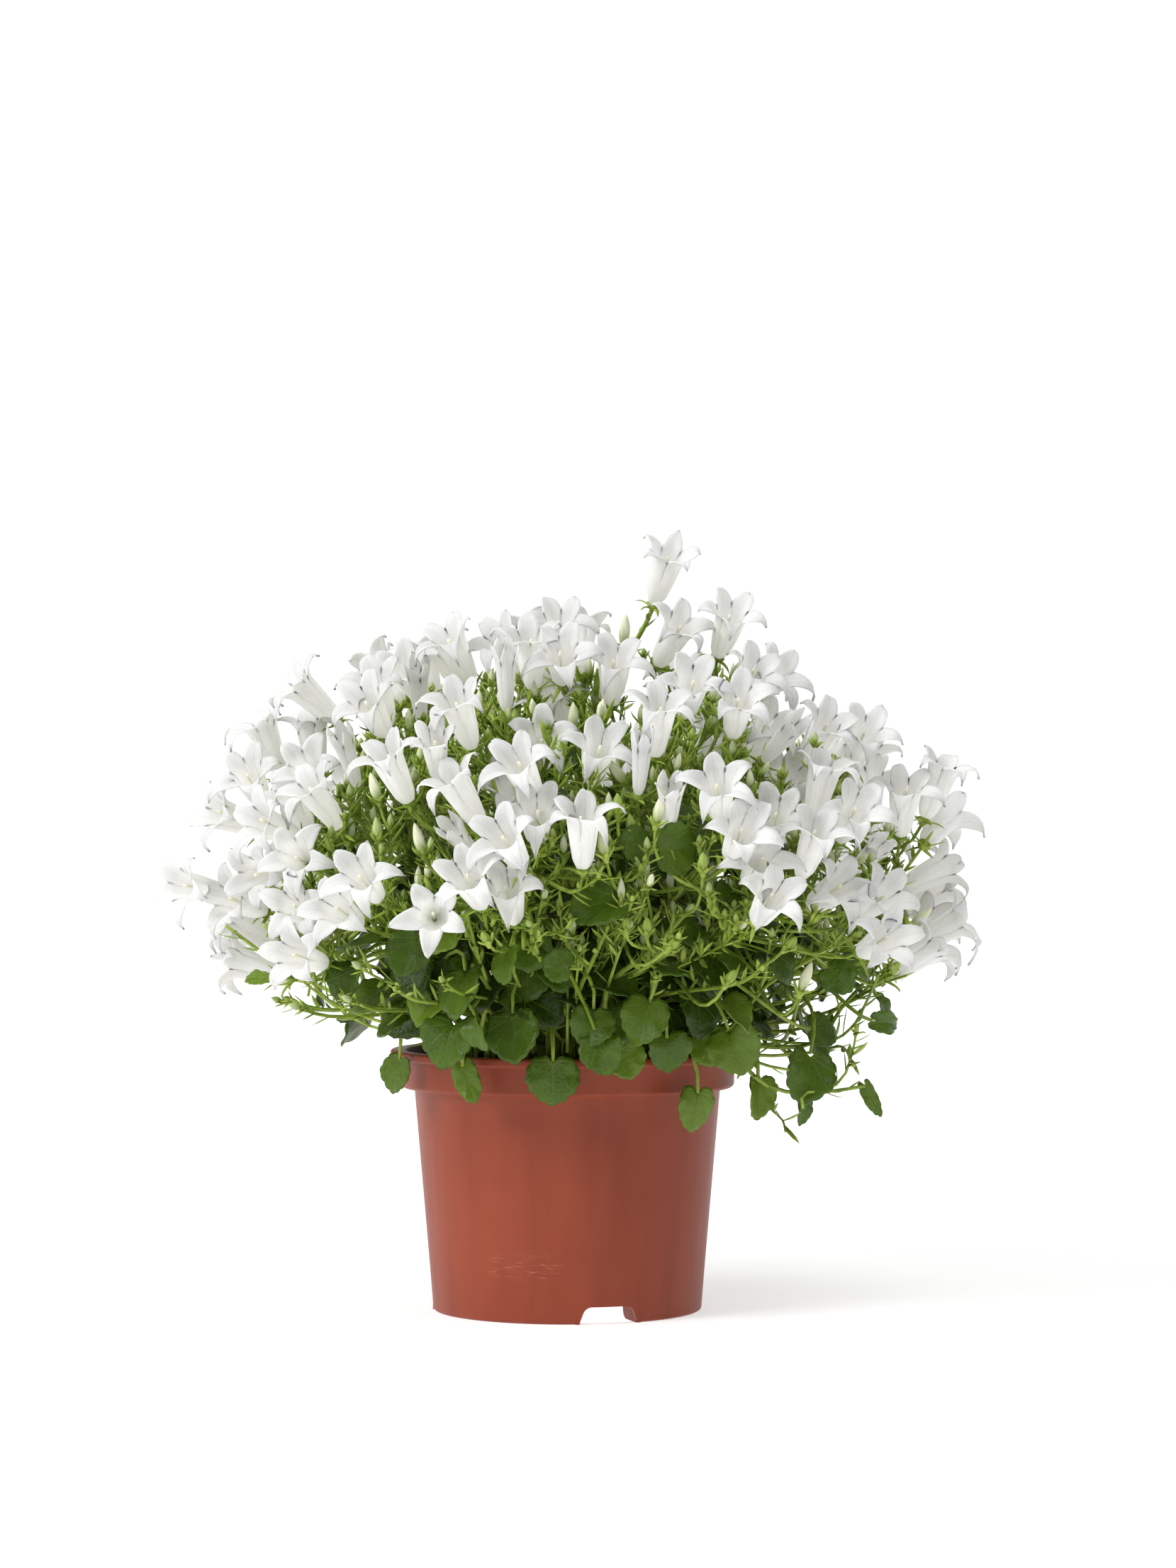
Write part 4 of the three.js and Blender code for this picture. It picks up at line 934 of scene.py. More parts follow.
def add_bract(growth, start, way, length, wide, random):
    """A narrow leaf on a stem"""
    bend = Vector((random() - 0.5, random() - 0.5, random() * 0.8)) * (0.35 * length)
    course = Course(start, start + way * (length * 0.35), start + way * (length * 0.7) + bend * 0.4,
                    start + way * length + bend)

    def width(v):
        return wide * (0.15 + math.sin(math.pi * min(1, 0.15 + 0.85 * v)) ** 0.8)

    growth.tube(course, 3, 4, width, random(), 0.25, math.pi / 4)


# Materials

def math_method(operation):
    """A method that adds a Math node, which works on a value and those given with it"""
    def method(self, *others):
        return self.nodes.node("Math", {"operation": operation}, dict(enumerate((self, *others))))

    return method


class Value:
    """A socket of a tree of nodes, on which sums can be written as expressions"""

    def __init__(self, nodes, socket):
        self.nodes = nodes
        self.socket = socket

    __add__ = __radd__ = math_method("ADD")
    __mul__ = __rmul__ = math_method("MULTIPLY")
    __sub__ = math_method("SUBTRACT")
    __pow__ = math_method("POWER")
    __abs__ = math_method("ABSOLUTE")
    sine = math_method("SINE")
    bearing = math_method("ARCTAN2")
    least = math_method("MINIMUM")
    most = math_method("MAXIMUM")

    def __rsub__(self, other):
        return (self * -1) + other

    def ramp(self, low, high, to_low=0.0, to_high=1.0):
        """Runs smoothly from one value to another between two levels of this one"""
        return self.nodes.node("MapRange", {"interpolation_type": "SMOOTHSTEP"}, {
            "Value": self, "From Min": low, "From Max": high, "To Min": to_low, "To Max": to_high,
        })


class Nodes:
    """A tree of shader nodes"""

    def __init__(self, tree):
        self.tree = tree

    def node(self, kind, settings=(), sockets=(), output=0):
        """Any node: its settings first, then the values or links of its sockets"""
        made = self.tree.nodes.new("ShaderNode" + kind)
        for name, value in dict(settings).items():
            setattr(made, name, value)
        for name, value in dict(sockets).items():
            self.feed(made.inputs[name], value)
        return Value(self, made.outputs[output])

    def feed(self, socket, value):
        if isinstance(value, Value):
            self.tree.links.new(value.socket, socket)
        else:
            socket.default_value = value

    def own(self, *names):
        """The values that the mesh holds under some names"""
        return [
            self.node("Attribute", {"attribute_name": name, "attribute_type": "GEOMETRY"}, output=2)
            for name in names
        ]

    def places(self):
        """Places on the piece, in metres"""
        return self.node("TexCoord", output=3)

    def stretched(self, *scale):
        """Places on the piece, drawn out along the directions whose scale is small"""
        return self.node("Mapping", sockets={"Vector": self.places(), "Scale": scale})

    def split(self, vector):
        """The three parts of a vector"""
        return [self.node("SeparateXYZ", sockets={"Vector": vector}, output=k) for k in range(3)]

    def noise(self, size, detail=2.0, at=None, rough=0.5):
        """Soft noise whose blobs are about a size in millimetres"""
        return self.node("TexNoise", sockets={
            "Vector": at or self.places(), "Scale": 1 / (size * MM), "Detail": detail, "Roughness": rough,
        })

    def blend(self, share, first, second):
        """One colour turning into another"""
        return self.node("Mix", {"data_type": "RGBA"}, {0: share, 6: first, 7: second}, output=2)


class Finish(Nodes):
    """A material made of nodes round one Principled shader"""

    def __init__(self, name, **constants):
        self.material = bpy.data.materials.new(name)
        self.material.use_nodes = True
        super().__init__(self.material.node_tree)
        self.shader = self.tree.nodes["Principled BSDF"]
        self.shade(**constants)

    def shade(self, **values):
        """Feeds sockets of the shader, which are named with _ for each space"""
        for name, value in values.items():
            self.feed(self.shader.inputs[name.replace("_", " ")], value)

    def bump(self, height, depth, strength=1.0):
        """Relief of a depth in millimetres"""
        self.shade(Normal=self.node("Bump", sockets={
            "Strength": strength, "Distance": depth * MM, "Height": height,
        }))

    def glow(self, share, dark, bright):
        """Light that the surface gives off by itself, which isn't sampled as a lamp"""
        self.shade(Emission_Strength=1.0, Emission_Color=self.blend(share, (*dark, 1.0), (*bright, 1.0)))
        self.material.cycles.emission_sampling = "NONE"


def rgb(red, green, blue):
    """A colour as the eye reads it, from 0 to 255, in the shader's own linear terms"""
    def linear(part):
        part /= 255
        return part / 12.92 if part < 0.04045 else ((part + 0.055) / 1.055) ** 2.4

    return (linear(red), linear(green), linear(blue), 1.0)


def petal_finish():
    """White petal: faint lengthwise veins, a midrib darkened partly as painted crease shade, greenish at
    the foot of the tube, and a faint painted glow in the tube that stands in for light scattered inside it
    """
    finish = Finish("white_petal", Subsurface_Weight=1.0, Subsurface_Scale=0.003,
                    Subsurface_Radius=(1.0, 1.0, 0.9), Sheen_Weight=0.05, Specular_IOR_Level=0.25)
    along, across = finish.own("along", "across")
    veins = (across * 15 + along * 1.5).sine() ** 2
    rib = (abs(across) * 7).least(1)
    streaks = finish.noise(3.5, 3)
    white = finish.blend(streaks, rgb(217, 216, 213), rgb(231, 230, 228))
    # Each lobe's midline turns grey: partly its real mid-vein, partly painted shade in the crease of its
    # fold
    midrib_and_crease_shade = finish.blend((1 - rib) * 0.3, white, rgb(190, 191, 182))
    veined = finish.blend(veins * 0.2, midrib_and_crease_shade, rgb(186, 189, 180))
    greenish = finish.blend(along.ramp(0.0, 0.2, 0.5, 0.0), veined, rgb(202, 208, 172))
    finish.shade(Base_Color=greenish, Roughness=0.46 + streaks * 0.12)
    # Painted light: the foot and tube glow faintly, fading out past the mouth, to lift their shade
    finish.glow(along.ramp(0.3, 0.6, 1.0, 0.0), (0.0, 0.0, 0.0), (0.14, 0.138, 0.132))
    finish.bump(rib * 0.25 + veins * 0.3 + streaks * 0.2, 0.14, 0.8)
    return finish.material


def style_finish():
    finish = Finish("style_cream", Roughness=0.55)
    along, = finish.own("along")
    finish.shade(Base_Color=finish.blend(along, rgb(216, 222, 176), rgb(238, 237, 212)))
    return finish.material


def stem_finish():
    """Yellow-green shoots, darker in places, with fine down"""
    finish = Finish("young_stem", Subsurface_Weight=0.25, Subsurface_Scale=0.001,
                    Subsurface_Radius=(0.7, 1.0, 0.3), Sheen_Weight=0.03, Specular_IOR_Level=0.4)
    along, tone = finish.own("along", "tone")
    fresh = finish.blend(tone, rgb(132, 156, 36), rgb(174, 194, 86))
    shaded = finish.blend(finish.noise(5, 3).ramp(0.35, 0.75) * 0.6, fresh, rgb(84, 114, 18))
    tipped = finish.blend(along.ramp(0.55, 1.0) * 0.3, shaded, rgb(86, 114, 20))
    down = finish.noise(0.5, 2)
    finish.shade(Base_Color=tipped, Roughness=0.45 + down * 0.2)
    finish.bump(down, 0.12, 0.5)
    return finish.material


def bud_finish():
    """Cream buds with a green foot and pale pleats, and small green ones"""
    finish = Finish("cream_bud", Subsurface_Weight=0.3, Subsurface_Scale=0.001,
                    Subsurface_Radius=(0.9, 1.0, 0.6), Sheen_Weight=0.05)
    along, across, tone = finish.own("along", "across", "tone")
    pleats = ((across + along * 0.19) * (10 * math.pi)).sine()
    ripe = finish.blend(tone.ramp(0.35, 0.95), rgb(146, 170, 62), rgb(232, 234, 206))
    foot = finish.blend(along.ramp(0.05, 0.6, 0.8, 0.0), ripe, rgb(158, 180, 78))
    lined = finish.blend(pleats.ramp(0.5, 1.0) * 0.35, foot, rgb(186, 200, 124))
    finish.shade(Base_Color=lined, Roughness=0.5 + finish.noise(1.5) * 0.1)
    finish.bump(pleats, 0.1, 0.4)
    return finish.material


def leaf_finish():
    """Green blades with paler veins that fan out from the foot, and a fine net between them; the leaves of
    lowest tone, low among the stems, are painted darker as shade
    """
    finish = Finish("leaf_green", Subsurface_Weight=0.15, Subsurface_Scale=0.001,
                    Subsurface_Radius=(0.5, 1.0, 0.2), Specular_IOR_Level=0.3)
    along, across, tone = finish.own("along", "across", "tone")
    ahead = along * 1.7 + 0.08
    distance = (across * across + ahead * ahead) ** 0.5
    veins = (abs((across.bearing(ahead) * 6).sine()) * distance).ramp(0.03, 0.13, 1.0, 0.0)
    veins = veins * distance.ramp(1.0, 1.7, 1.0, 0.35)
    net = finish.node("TexVoronoi", {"feature": "DISTANCE_TO_EDGE"}, {
        "Vector": finish.places(), "Scale": 1 / (2.1 * MM),
    })
    mottle = finish.noise(6, 3)
    green = finish.blend(mottle, rgb(50, 76, 8), rgb(80, 108, 14))
    # Painted shade: the lowest tones, given to leaves low among the stems, turn deep dark green
    inner_painted_shade = finish.blend(tone.ramp(0.0, 0.3, 0.8, 0.0), green, rgb(24, 44, 4))
    toned = finish.blend(tone.ramp(0.45, 1.1), inner_painted_shade, rgb(106, 132, 30))
    netted = finish.blend(net.ramp(0.0, 0.1, 1.0, 0.0) * 0.16, toned, rgb(112, 138, 40))
    veined = finish.blend(veins * 0.5, netted, rgb(140, 162, 66))
    finish.shade(Base_Color=veined, Roughness=0.28 + mottle * 0.18)
    finish.bump(net.ramp(0.0, 0.4) * 0.16 - veins * 0.6 + mottle * 0.7, 0.5, 0.9)
    return finish.material


def soil_finish():
    """Dark peat with paler fibres"""
    finish = Finish("dark_peat", Specular_IOR_Level=0.2)
    coarse, fine = finish.noise(7, 4), finish.noise(1.2, 5, rough=0.7)
    dark = finish.blend(coarse, rgb(26, 17, 12), rgb(58, 40, 27))
    fibres = finish.blend(fine.ramp(0.55, 0.75), dark, rgb(92, 66, 44))
    finish.shade(Base_Color=fibres, Roughness=0.85 + fine * 0.15)
    finish.bump(fine + coarse, 0.9, 0.8)
    return finish.material


def pot_finish():
    """Satin terracotta-coloured plastic with faint flow marks, specks, and a patch of scuffs
    low on the front"""
    finish = Finish("terracotta_plastic", Specular_IOR_Level=0.25)
    across, depth, height = finish.split(finish.places())
    flow = finish.noise(9, 3, at=finish.stretched(1.0, 1.0, 0.12))
    specks = finish.noise(1.1, 1).ramp(0.76, 0.8)
    body = finish.blend(finish.noise(26, 2), rgb(138, 61, 39), rgb(151, 69, 44))
    flowing = finish.blend(flow.ramp(0.35, 0.8) * 0.4, body, rgb(119, 50, 32))
    patch = height.ramp(0.013, 0.017) * height.ramp(0.020, 0.025, 1.0, 0.0)
    patch = patch * across.ramp(-0.029, -0.022) * across.ramp(-0.006, 0.001, 1.0, 0.0)
    patch = patch * depth.ramp(-0.02, 0, 1.0, 0.0)
    scuffs = finish.noise(0.4, 4, at=finish.stretched(0.09, 0.09, 1.0), rough=0.7).ramp(0.52, 0.68) * patch
    scuffed = finish.blend(scuffs * 0.45, flowing, rgb(190, 132, 108))
    dusty = finish.blend(specks * 0.5, scuffed, rgb(96, 44, 32))
    grain = finish.noise(0.7, 2)
    finish.shade(Base_Color=dusty, Roughness=0.36 + flow * 0.12 + scuffs * 0.25 + grain * 0.04)
    finish.bump(flow * 0.6 + grain * 0.25, 0.25, 0.25)
    return finish.material


# Pot and soil

def turned(profile, steps):
    """A profile of radii and heights spun about the pot's axis into a closed mesh"""
    mesh = bmesh.new()
    points = [mesh.verts.new((radius, 0, height)) for radius, height in profile]
    edges = [mesh.edges.new(pair) for pair in zip(points, points[1:])]
    bmesh.ops.spin(mesh, geom=points + edges, axis=(0, 0, 1), cent=(0, 0, 0), angle=FULL_TURN,
                   steps=steps, use_merge=True)
    bmesh.ops.remove_doubles(mesh, verts=mesh.verts, dist=TURNED_WELD)
    bmesh.ops.recalc_face_normals(mesh, faces=mesh.faces)
    return mesh


def new_box(*size):
    mesh = bmesh.new()
    bmesh.ops.create_cube(mesh, size=1.0)
    bmesh.ops.scale(mesh, vec=size, verts=mesh.verts)
    return mesh


def round_edges(mesh, edges, radius, segments):
    bmesh.ops.bevel(mesh, geom=edges, offset=radius, offset_type="OFFSET", segments=segments,
                    profile=0.5, affect="EDGES", material=-1)


def set_round(mesh, offset, turn):
    """Moves a shape off the pot's axis, and then turns it about that axis"""
    bmesh.ops.translate(mesh, vec=offset, verts=mesh.verts)
    bmesh.ops.rotate(mesh, cent=(0, 0, 0), matrix=Matrix.Rotation(turn, 3, "Z"), verts=mesh.verts)


def notch_cutter(turn):
    """A bar with rounded upper corners and sides that spread downwards, across the foot skirt"""
    mesh = new_box(NOTCH_REACH, NOTCH_WIDTH, 2 * NOTCH_HEIGHT)
    for vertex in mesh.verts:
        vertex.co.y *= 1.0 - 0.2 * math.copysign(1, vertex.co.z)
    along = [edge for edge in mesh.edges if abs((edge.verts[0].co - edge.verts[1].co).x) > 1]
    round_edges(mesh, along, NOTCH_CORNER, 6)
    set_round(mesh, (FOOT_RADIUS - 2, 0, 0), turn)
    return object_of("notch_cutter", mesh)


def drain_cutter(turn):
    mesh = bmesh.new()
    bmesh.ops.create_cone(mesh, cap_ends=True, segments=32, radius1=DRAIN_RADIUS,
                          radius2=DRAIN_RADIUS, depth=8)
    set_round(mesh, (DRAIN_CIRCLE, 0, BASE_UNDERSIDE), turn)
    return object_of("drain_cutter", mesh)


def add_notch_walls(mesh, turn):
    """The two walls that run inwards from a notch, under the base plate"""
    height = BASE_UNDERSIDE + 0.4
    for side in (-1, 1):
        wall = new_box(NOTCH_REACH, NOTCH_WALL, height)
        inner_low = [edge for edge in wall.edges
                     if all(vertex.co.x < 0 and vertex.co.z < 0 for vertex in edge.verts)]
        round_edges(wall, inner_low, NOTCH_WALL_CORNER, 5)
        set_round(wall, (FOOT_RADIUS - 8.2, side * (NOTCH_WIDTH / 2 + 0.4), height / 2), turn)
        merge(mesh, wall)


def arc(centre, radius, first, last, steps=4):
    """Points of a rounded corner, by angle in degrees from outwards to up"""
    angles = [math.radians(mix(first, last, k / steps)) for k in range(steps + 1)]
    return [(centre[0] + radius * math.cos(a), centre[1] + radius * math.sin(a)) for a in angles]


def pot_profile():
    """Radius and height all round the pot's wall, from the axis under its base to the axis on it"""
    wall_at_base = FOOT_RADIUS + (BODY_TOP_RADIUS - FOOT_RADIUS) * 0.1 - POT_WALL
    lip_low = LIP_TOP - LIP_HEIGHT
    side = [
        (mix(FOOT_RADIUS + 0.1, BODY_TOP_RADIUS, k / 8), mix(2, COLLAR_BOTTOM - 0.6, k / 8))
        for k in range(1, 9)
    ]
    return [
        (0, BASE_UNDERSIDE),
        (wall_at_base, BASE_UNDERSIDE),
        (FOOT_RADIUS - POT_WALL, 0),
        (FOOT_RADIUS - 0.9, 0),
        *arc((FOOT_RADIUS - 0.9, 1.1), 1.0, -75, -8, 4),
        *side,
        (BODY_TOP_RADIUS + 0.5, COLLAR_BOTTOM),
        *arc((COLLAR_RADIUS - 1.6, COLLAR_BOTTOM + 1.6), 1.6, -90, 0, 6),
        (COLLAR_RADIUS + 0.2, lip_low - 0.8),
        *arc((COLLAR_RADIUS + 1.0, lip_low - 0.8), 0.8, 180, 90, 3),
        *arc((LIP_RADIUS - 0.6, lip_low + 0.6), 0.6, -90, 0, 4),
        *arc((LIP_RADIUS - 0.9, LIP_TOP - 0.9), 0.9, 0, 90, 5),
        *arc((COLLAR_RADIUS - POT_WALL + 0.7, LIP_TOP - 0.7), 0.7, 90, 180, 4),
        (COLLAR_RADIUS - POT_WALL - 0.3, COLLAR_BOTTOM + POT_WALL),
        (BODY_TOP_RADIUS - POT_WALL, COLLAR_BOTTOM - 1),
        (wall_at_base + 0.1, BASE_UNDERSIDE + POT_WALL),
        (0, BASE_UNDERSIDE + POT_WALL),
    ]


def make_pot(material):
    """The turned shell, with its notches and drain holes cut out"""
    blank = object_of("pot_blank", turned(pot_profile(), POT_STEPS))
    notch_turns = [math.radians(NOTCH_FRONT_TURN - 90 + 360 * k / NOTCH_COUNT) for k in range(NOTCH_COUNT)]
    drain_turns = [math.radians(DRAIN_FIRST_TURN + 360 * k / DRAIN_COUNT) for k in range(DRAIN_COUNT)]
    cutters = [notch_cutter(turn) for turn in notch_turns] + [drain_cutter(turn) for turn in drain_turns]
    for one in cutters:
        cut = blank.modifiers.new("cut", "BOOLEAN")
        cut.object = one
        cut.operation = "DIFFERENCE"
        cut.solver = "EXACT"
    bpy.context.view_layer.update()
    shell = bpy.data.meshes.new_from_object(blank.evaluated_get(bpy.context.evaluated_depsgraph_get()))
    for one in (blank, *cutters):
        bpy.data.objects.remove(one)
    shell.name = "pot_shell"
    mesh = bmesh.new()
    mesh.from_mesh(shell)
    for turn in notch_turns:
        add_notch_walls(mesh, turn)
    mesh.to_mesh(shell)
    mesh.free()
    shell.transform(Matrix.Scale(MM, 4))
    shell.shade_smooth()
    shell.set_sharp_from_angle(angle=math.radians(SHARP_ANGLE))
    add_piece("pot_shell", shell, material, ["pot"])


def soil_height(rim, x, y):
    """The top of the peat, heaped from its rim inwards, with lumps in it"""
    lumps = (
        0.7 * math.sin(x * 0.31 + 1.3) * math.cos(y * 0.27)
        + 0.5 * math.sin(x * 0.83 + y * 0.51)
        + 0.35 * math.sin(x * 1.7 - y * 1.9 + 2.0)
        + 0.25 * math.cos(x * 2.9 + y * 2.3)
    )
    heap = smooth((rim - math.hypot(x, y)) / SOIL_SLOPE)
    return SOIL_TOP - SOIL_HEAP + SOIL_HEAP * heap + SOIL_LUMP * lumps


def make_soil(material):
    """Peat that fills the pot, heaped a little, with loose crumbs on top"""
    growth = Growth()
    random = seeded_random(CRUMB_SEED)
    inner = POT_WALL + 0.6
    floor = BASE_UNDERSIDE + POT_WALL + 0.4
    rim = COLLAR_RADIUS - inner - 0.6
    corners = [
        (0.0, floor),
        (FOOT_RADIUS + 0.3 - inner, floor),
        (BODY_TOP_RADIUS - inner - 0.6, COLLAR_BOTTOM - 1.5),
        (rim, SOIL_TOP - SOIL_HEAP),
    ]

    def form(u, v):
        angle = FULL_TURN * u
        row = round(v * SOIL_RINGS)
        if row < len(corners):
            radius, height = corners[row]
        else:
            radius = rim * (1 - (row - 3) / (SOIL_RINGS - 3))
            height = soil_height(rim, radius * math.cos(angle), radius * math.sin(angle))
        return around(angle, radius, height), v, u, 0.5

    growth.sheet(SOIL_SIDES, SOIL_RINGS, form)
    for _ in range(CRUMBS):
        turn, reach = random() * FULL_TURN, rim * 0.97 * math.sqrt(random())
        x, y = reach * math.cos(turn), reach * math.sin(turn)
        size = mix(0.4, 1.7, random() ** 2)
        crumb = bmesh.ops.create_icosphere(growth.mesh, subdivisions=1, radius=size)["verts"]
        for vertex in crumb:
            vertex.co = vertex.co * mix(0.7, 1.25, random())
        bmesh.ops.translate(growth.mesh, vec=(x, y, soil_height(rim, x, y) + 0.3 * size), verts=crumb)
    growth.piece("peat_fill", material, "soil", ["potting_soil"])


# Blooms

def add_whole_bell(growth, bloom, random):
    """A bell welded by itself, so that bells which touch stay apart"""
    single = Growth()
    add_bell(single, bloom, random)
    growth.take(single)


def make_blooms(blooms, fillers, petal, style):
    """A piece for each bunch of bells, some for the bells between them, and one for the styles"""
    names = [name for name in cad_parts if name.startswith("blooms_")]
    skins = {name: skin_of(name) for name in names}
    random = seeded_random(BELL_SEED)
    bells = {name: Growth() for name in names}
    styles = Growth()
    for bloom in blooms:
        name = nearest_node(skins, bloom["base"] + bloom["axis"] * 0.3)
        add_whole_bell(bells[name], bloom, random)
    for name in sorted(names):
        bells[name].piece(name.replace("blooms", "bells"), petal, "blooms", [name], PETAL_SHEET)
    for k in range(FILLER_PIECES):
        between = Growth()
        for bloom in fillers[k::FILLER_PIECES]:
            add_whole_bell(between, bloom, random)
        between.piece(f"bells_between_{k + 1}", petal, "blooms", [], PETAL_SHEET)
    for bloom in blooms + fillers:
        if bloom["open"] > STYLE_SHOWS:
            add_style(styles, bloom)
    styles.piece("styles", style, "blooms", [])


# Plant

class Plant:
    """The leafy stems, and what grows on them"""

    def __init__(self, blooms):
        self.random = seeded_random(PLANT_SEED)
        self.stems = {}
        for k in range(STEM_COUNT):
            name = f"leafy_stem_{k + 1:02d}"
            skin = skin_of(name)
            course = find_stem(k, skin)
            self.stems[name] = {
                "skin": skin, "course": course, "footholds": footholds_of(course),
                "shoots": Growth(), "leaves": Growth(), "buds": Growth(),
            }
        self.bells = KDTree(len(blooms) * BELL_MARKS)
        for i, bloom in enumerate(blooms):
            for k in range(BELL_MARKS):
                mark = bloom["base"] + bloom["axis"] * (1 + BELL_MARK_STEP * k)
                self.bells.insert(mark, BELL_MARKS * i + k)
        self.bells.balance()

    def clear(self, point, gap):
        """Whether a point lies further than a gap from every bell"""
        return self.bells.find(point)[2] > gap

    def inside(self, point, share):
        """Whether a point lies within a share of the mound, and clear of the pot's lip"""
        offset = point - MOUND_CENTRE
        height = MOUND_HEIGHT if offset.z > 0 else MOUND_DROP
        level = Vector((offset.x / MOUND_HALF_WIDTH, offset.y / MOUND_HALF_DEPTH, offset.z / height))
        return level.length < share and (point.z > LIP_TOP + 6 or point.xy.length > LIP_RADIUS + 8)

    def side_way(self, heading, spread):
        """A way that leaves a stem sideways and on"""
        x = frame_along(heading, self.random() * FULL_TURN)[0]
        return (x * spread + heading).normalized()

    def add_stems(self):
        """The main stems, sunk into the soil, with a bract at every other foothold"""
        def stem_width(v):
            return mix(STEM_RADIUS, STALK_RADIUS, v) if v < 1 else 0.05

        for stem in self.stems.values():
            course = stem["course"]
            foot = course.at(0)
            sunk = Course(*(foot - UP * depth for depth in (STEM_FOOT + STEM_SUNK, 3, 1, 0)))
            stem["shoots"].tube(sunk, 2, STEM_SIDES, lambda v: STEM_RADIUS, 0.5)
            stem["shoots"].tube(course, STEM_STEPS, STEM_SIDES, stem_width, 0.5)
            for start, heading in stem["footholds"][4::2]:
                self.add_bract_at(stem, start, heading)

    def add_bract_at(self, stem, start, heading):
        random = self.random
        way = self.side_way(heading, mix(0.6, 1.4, random()))
        add_bract(stem["shoots"], start, way, mix(4.5, 10, random()), mix(0.6, 1.3, random()), random)

    def add_bracts(self, stem, course, shares):
        """A bract at each share of a course"""
        for t in shares:
            self.add_bract_at(stem, course.at(t), course.heading(t))

    def hang(self, end, arrival, radius=STALK_RADIUS):
        """A stalk to a point, with the stem that carries it"""
        name, course = find_stalk(self.stems, end, arrival)
        stem = self.stems[name]
        self.add_stalk(stem, course, radius)
        return stem, course

    def add_stalk(self, stem, course, radius, sides=6):
        steps = max(3, round((course.at(1) - course.at(0)).length / STALK_STEP))
        stem["shoots"].tube(course, steps, sides, lambda v: radius * mix(1.15, 0.85, v), self.random())

    def add_flower(self, bloom):
        """The stalk, bracts and calyx of a bloom"""
        random = self.random
        foot = bloom["base"] - bloom["axis"] * CALYX_SETBACK
        stem, course = self.hang(foot, bloom["axis"], bloom.get("stalk", STALK_RADIUS))
        add_calyx(stem["shoots"], bloom["base"], bloom["axis"], random, *bloom.get("sepals", ()))
        gap = (course.at(1) - course.at(0)).length
        count = int(gap / BRACT_STEP)
        self.add_bracts(stem, course, [k / count for k in range(1, count)])
        for t in (0.35, 0.6, 0.8):
            if gap * t > 12:
                self.try_side_shoot(stem, course.at(t), course.heading(t), 7, 22)

    def nearest_stem(self, point, foothold=0):
        """The stem with a foothold, counted from its foot, nearest to a point"""
        return min(self.stems.values(), key=lambda stem: (stem["footholds"][foothold][0] - point).length)

    def dress(self, stem, course, radius, bare, shoots):
        """A thin stem with its bracts, from where it is no longer bare, and its side shoots"""
        steps = max(6, round(course.length(40) / STALK_STEP))
        tone = self.random()
        stem["shoots"].tube(course, steps, 6, lambda v: radius * mix(1.15, 0.75, v), tone)
        self.add_bracts(stem, course, [k / steps for k in range(int(bare * steps) + 1, steps)])
        for t in shoots:
            self.try_side_shoot(stem, course.at(t), course.heading(t), 5, 17)

    def add_tip_bud(self, stem, course, length):
        """A small bud at the end of a stem, in its calyx"""
        end, axis = course.at(1), course.heading(1)
        share = length / 9
        ripeness = clamp(share, 0.05, 1)
        add_bud(stem["buds"], end, axis, length, mix(0.75, 1.4, share), self.random, ripeness, False)
        reach = mix(3, 6, share)
        add_calyx(stem["shoots"], end + axis * 0.4, axis, self.random, reach, (0.2, 0.85), 1.1, False)

    def add_front_stem(self, radius, near, far, ending, *places):
        """A stem seen in front, with what it carries"""
        last = len(places) - 1
        points = [on_front(*spot, mix(near, far, k / last)) for k, spot in enumerate(places)]
        course = Trail(points[0] - UP * 5, *points)
        stem = self.nearest_stem(points[0])
        rises = places[-1][1] > 105
        self.dress(stem, course, radius, 0.35, (0.55, 0.7, 0.85) if rises else ())
        if len(ending) == 1:
            self.add_tip_bud(stem, course, ending[0])
        elif ending:
            width, turn, roll, slim = ending
            normal, tip_way = leaf_ways(course.at(1), math.radians(turn), 0)
            normal.rotate(Quaternion(tip_way, math.radians(roll)))
            add_blade(stem["leaves"], course.at(1), normal, tip_way, width, self.random, True, slim)

    def add_front_shoot(self, across, up, length):
        """A young shoot that rises between the blooms in front"""
        end = from_view(across, up, -mound_depth(across, up) * 0.97)
        stem, course = self.hang(end, UP, SHOOT_RADIUS)
        reach = course.length(20)
        for places_down in TIP_BRACTS:
            t = 1 - (places_down + 0.5) * TIP_BRACT_STEP / reach
            if t > 0.2:
                self.add_bract_at(stem, course.at(t), course.heading(t))
        self.add_tip_bud(stem, course, length)

    def add_fan_stems(self):
        """Thinner stems that fan out all round from the soil, each to a young shoot"""
        rule = seeded_random(FAN_SEED)
        for k in range(FAN_STEMS):
            azimuth = FULL_TURN * golden_share(k)
            rise = math.asin(mix(*FAN_RISES, rule()))
            for share in FAN_SHARES:
                course = stem_course(azimuth, rise, share)
                if self.clear(course.at(1), 6):
                    break
            foot = course.at(0)
            sunk = Trail(foot - UP * (STEM_FOOT + STEM_SUNK), *(course.at(j / 8) for j in range(9)))
            stem = self.nearest_stem(foot)
            self.dress(stem, sunk, mix(0.5, 0.85, rule()), 0.4, (0.5, 0.62, 0.74, 0.86))
            self.add_tip_bud(stem, sunk, mix(2.5, 8, rule() ** 1.5))

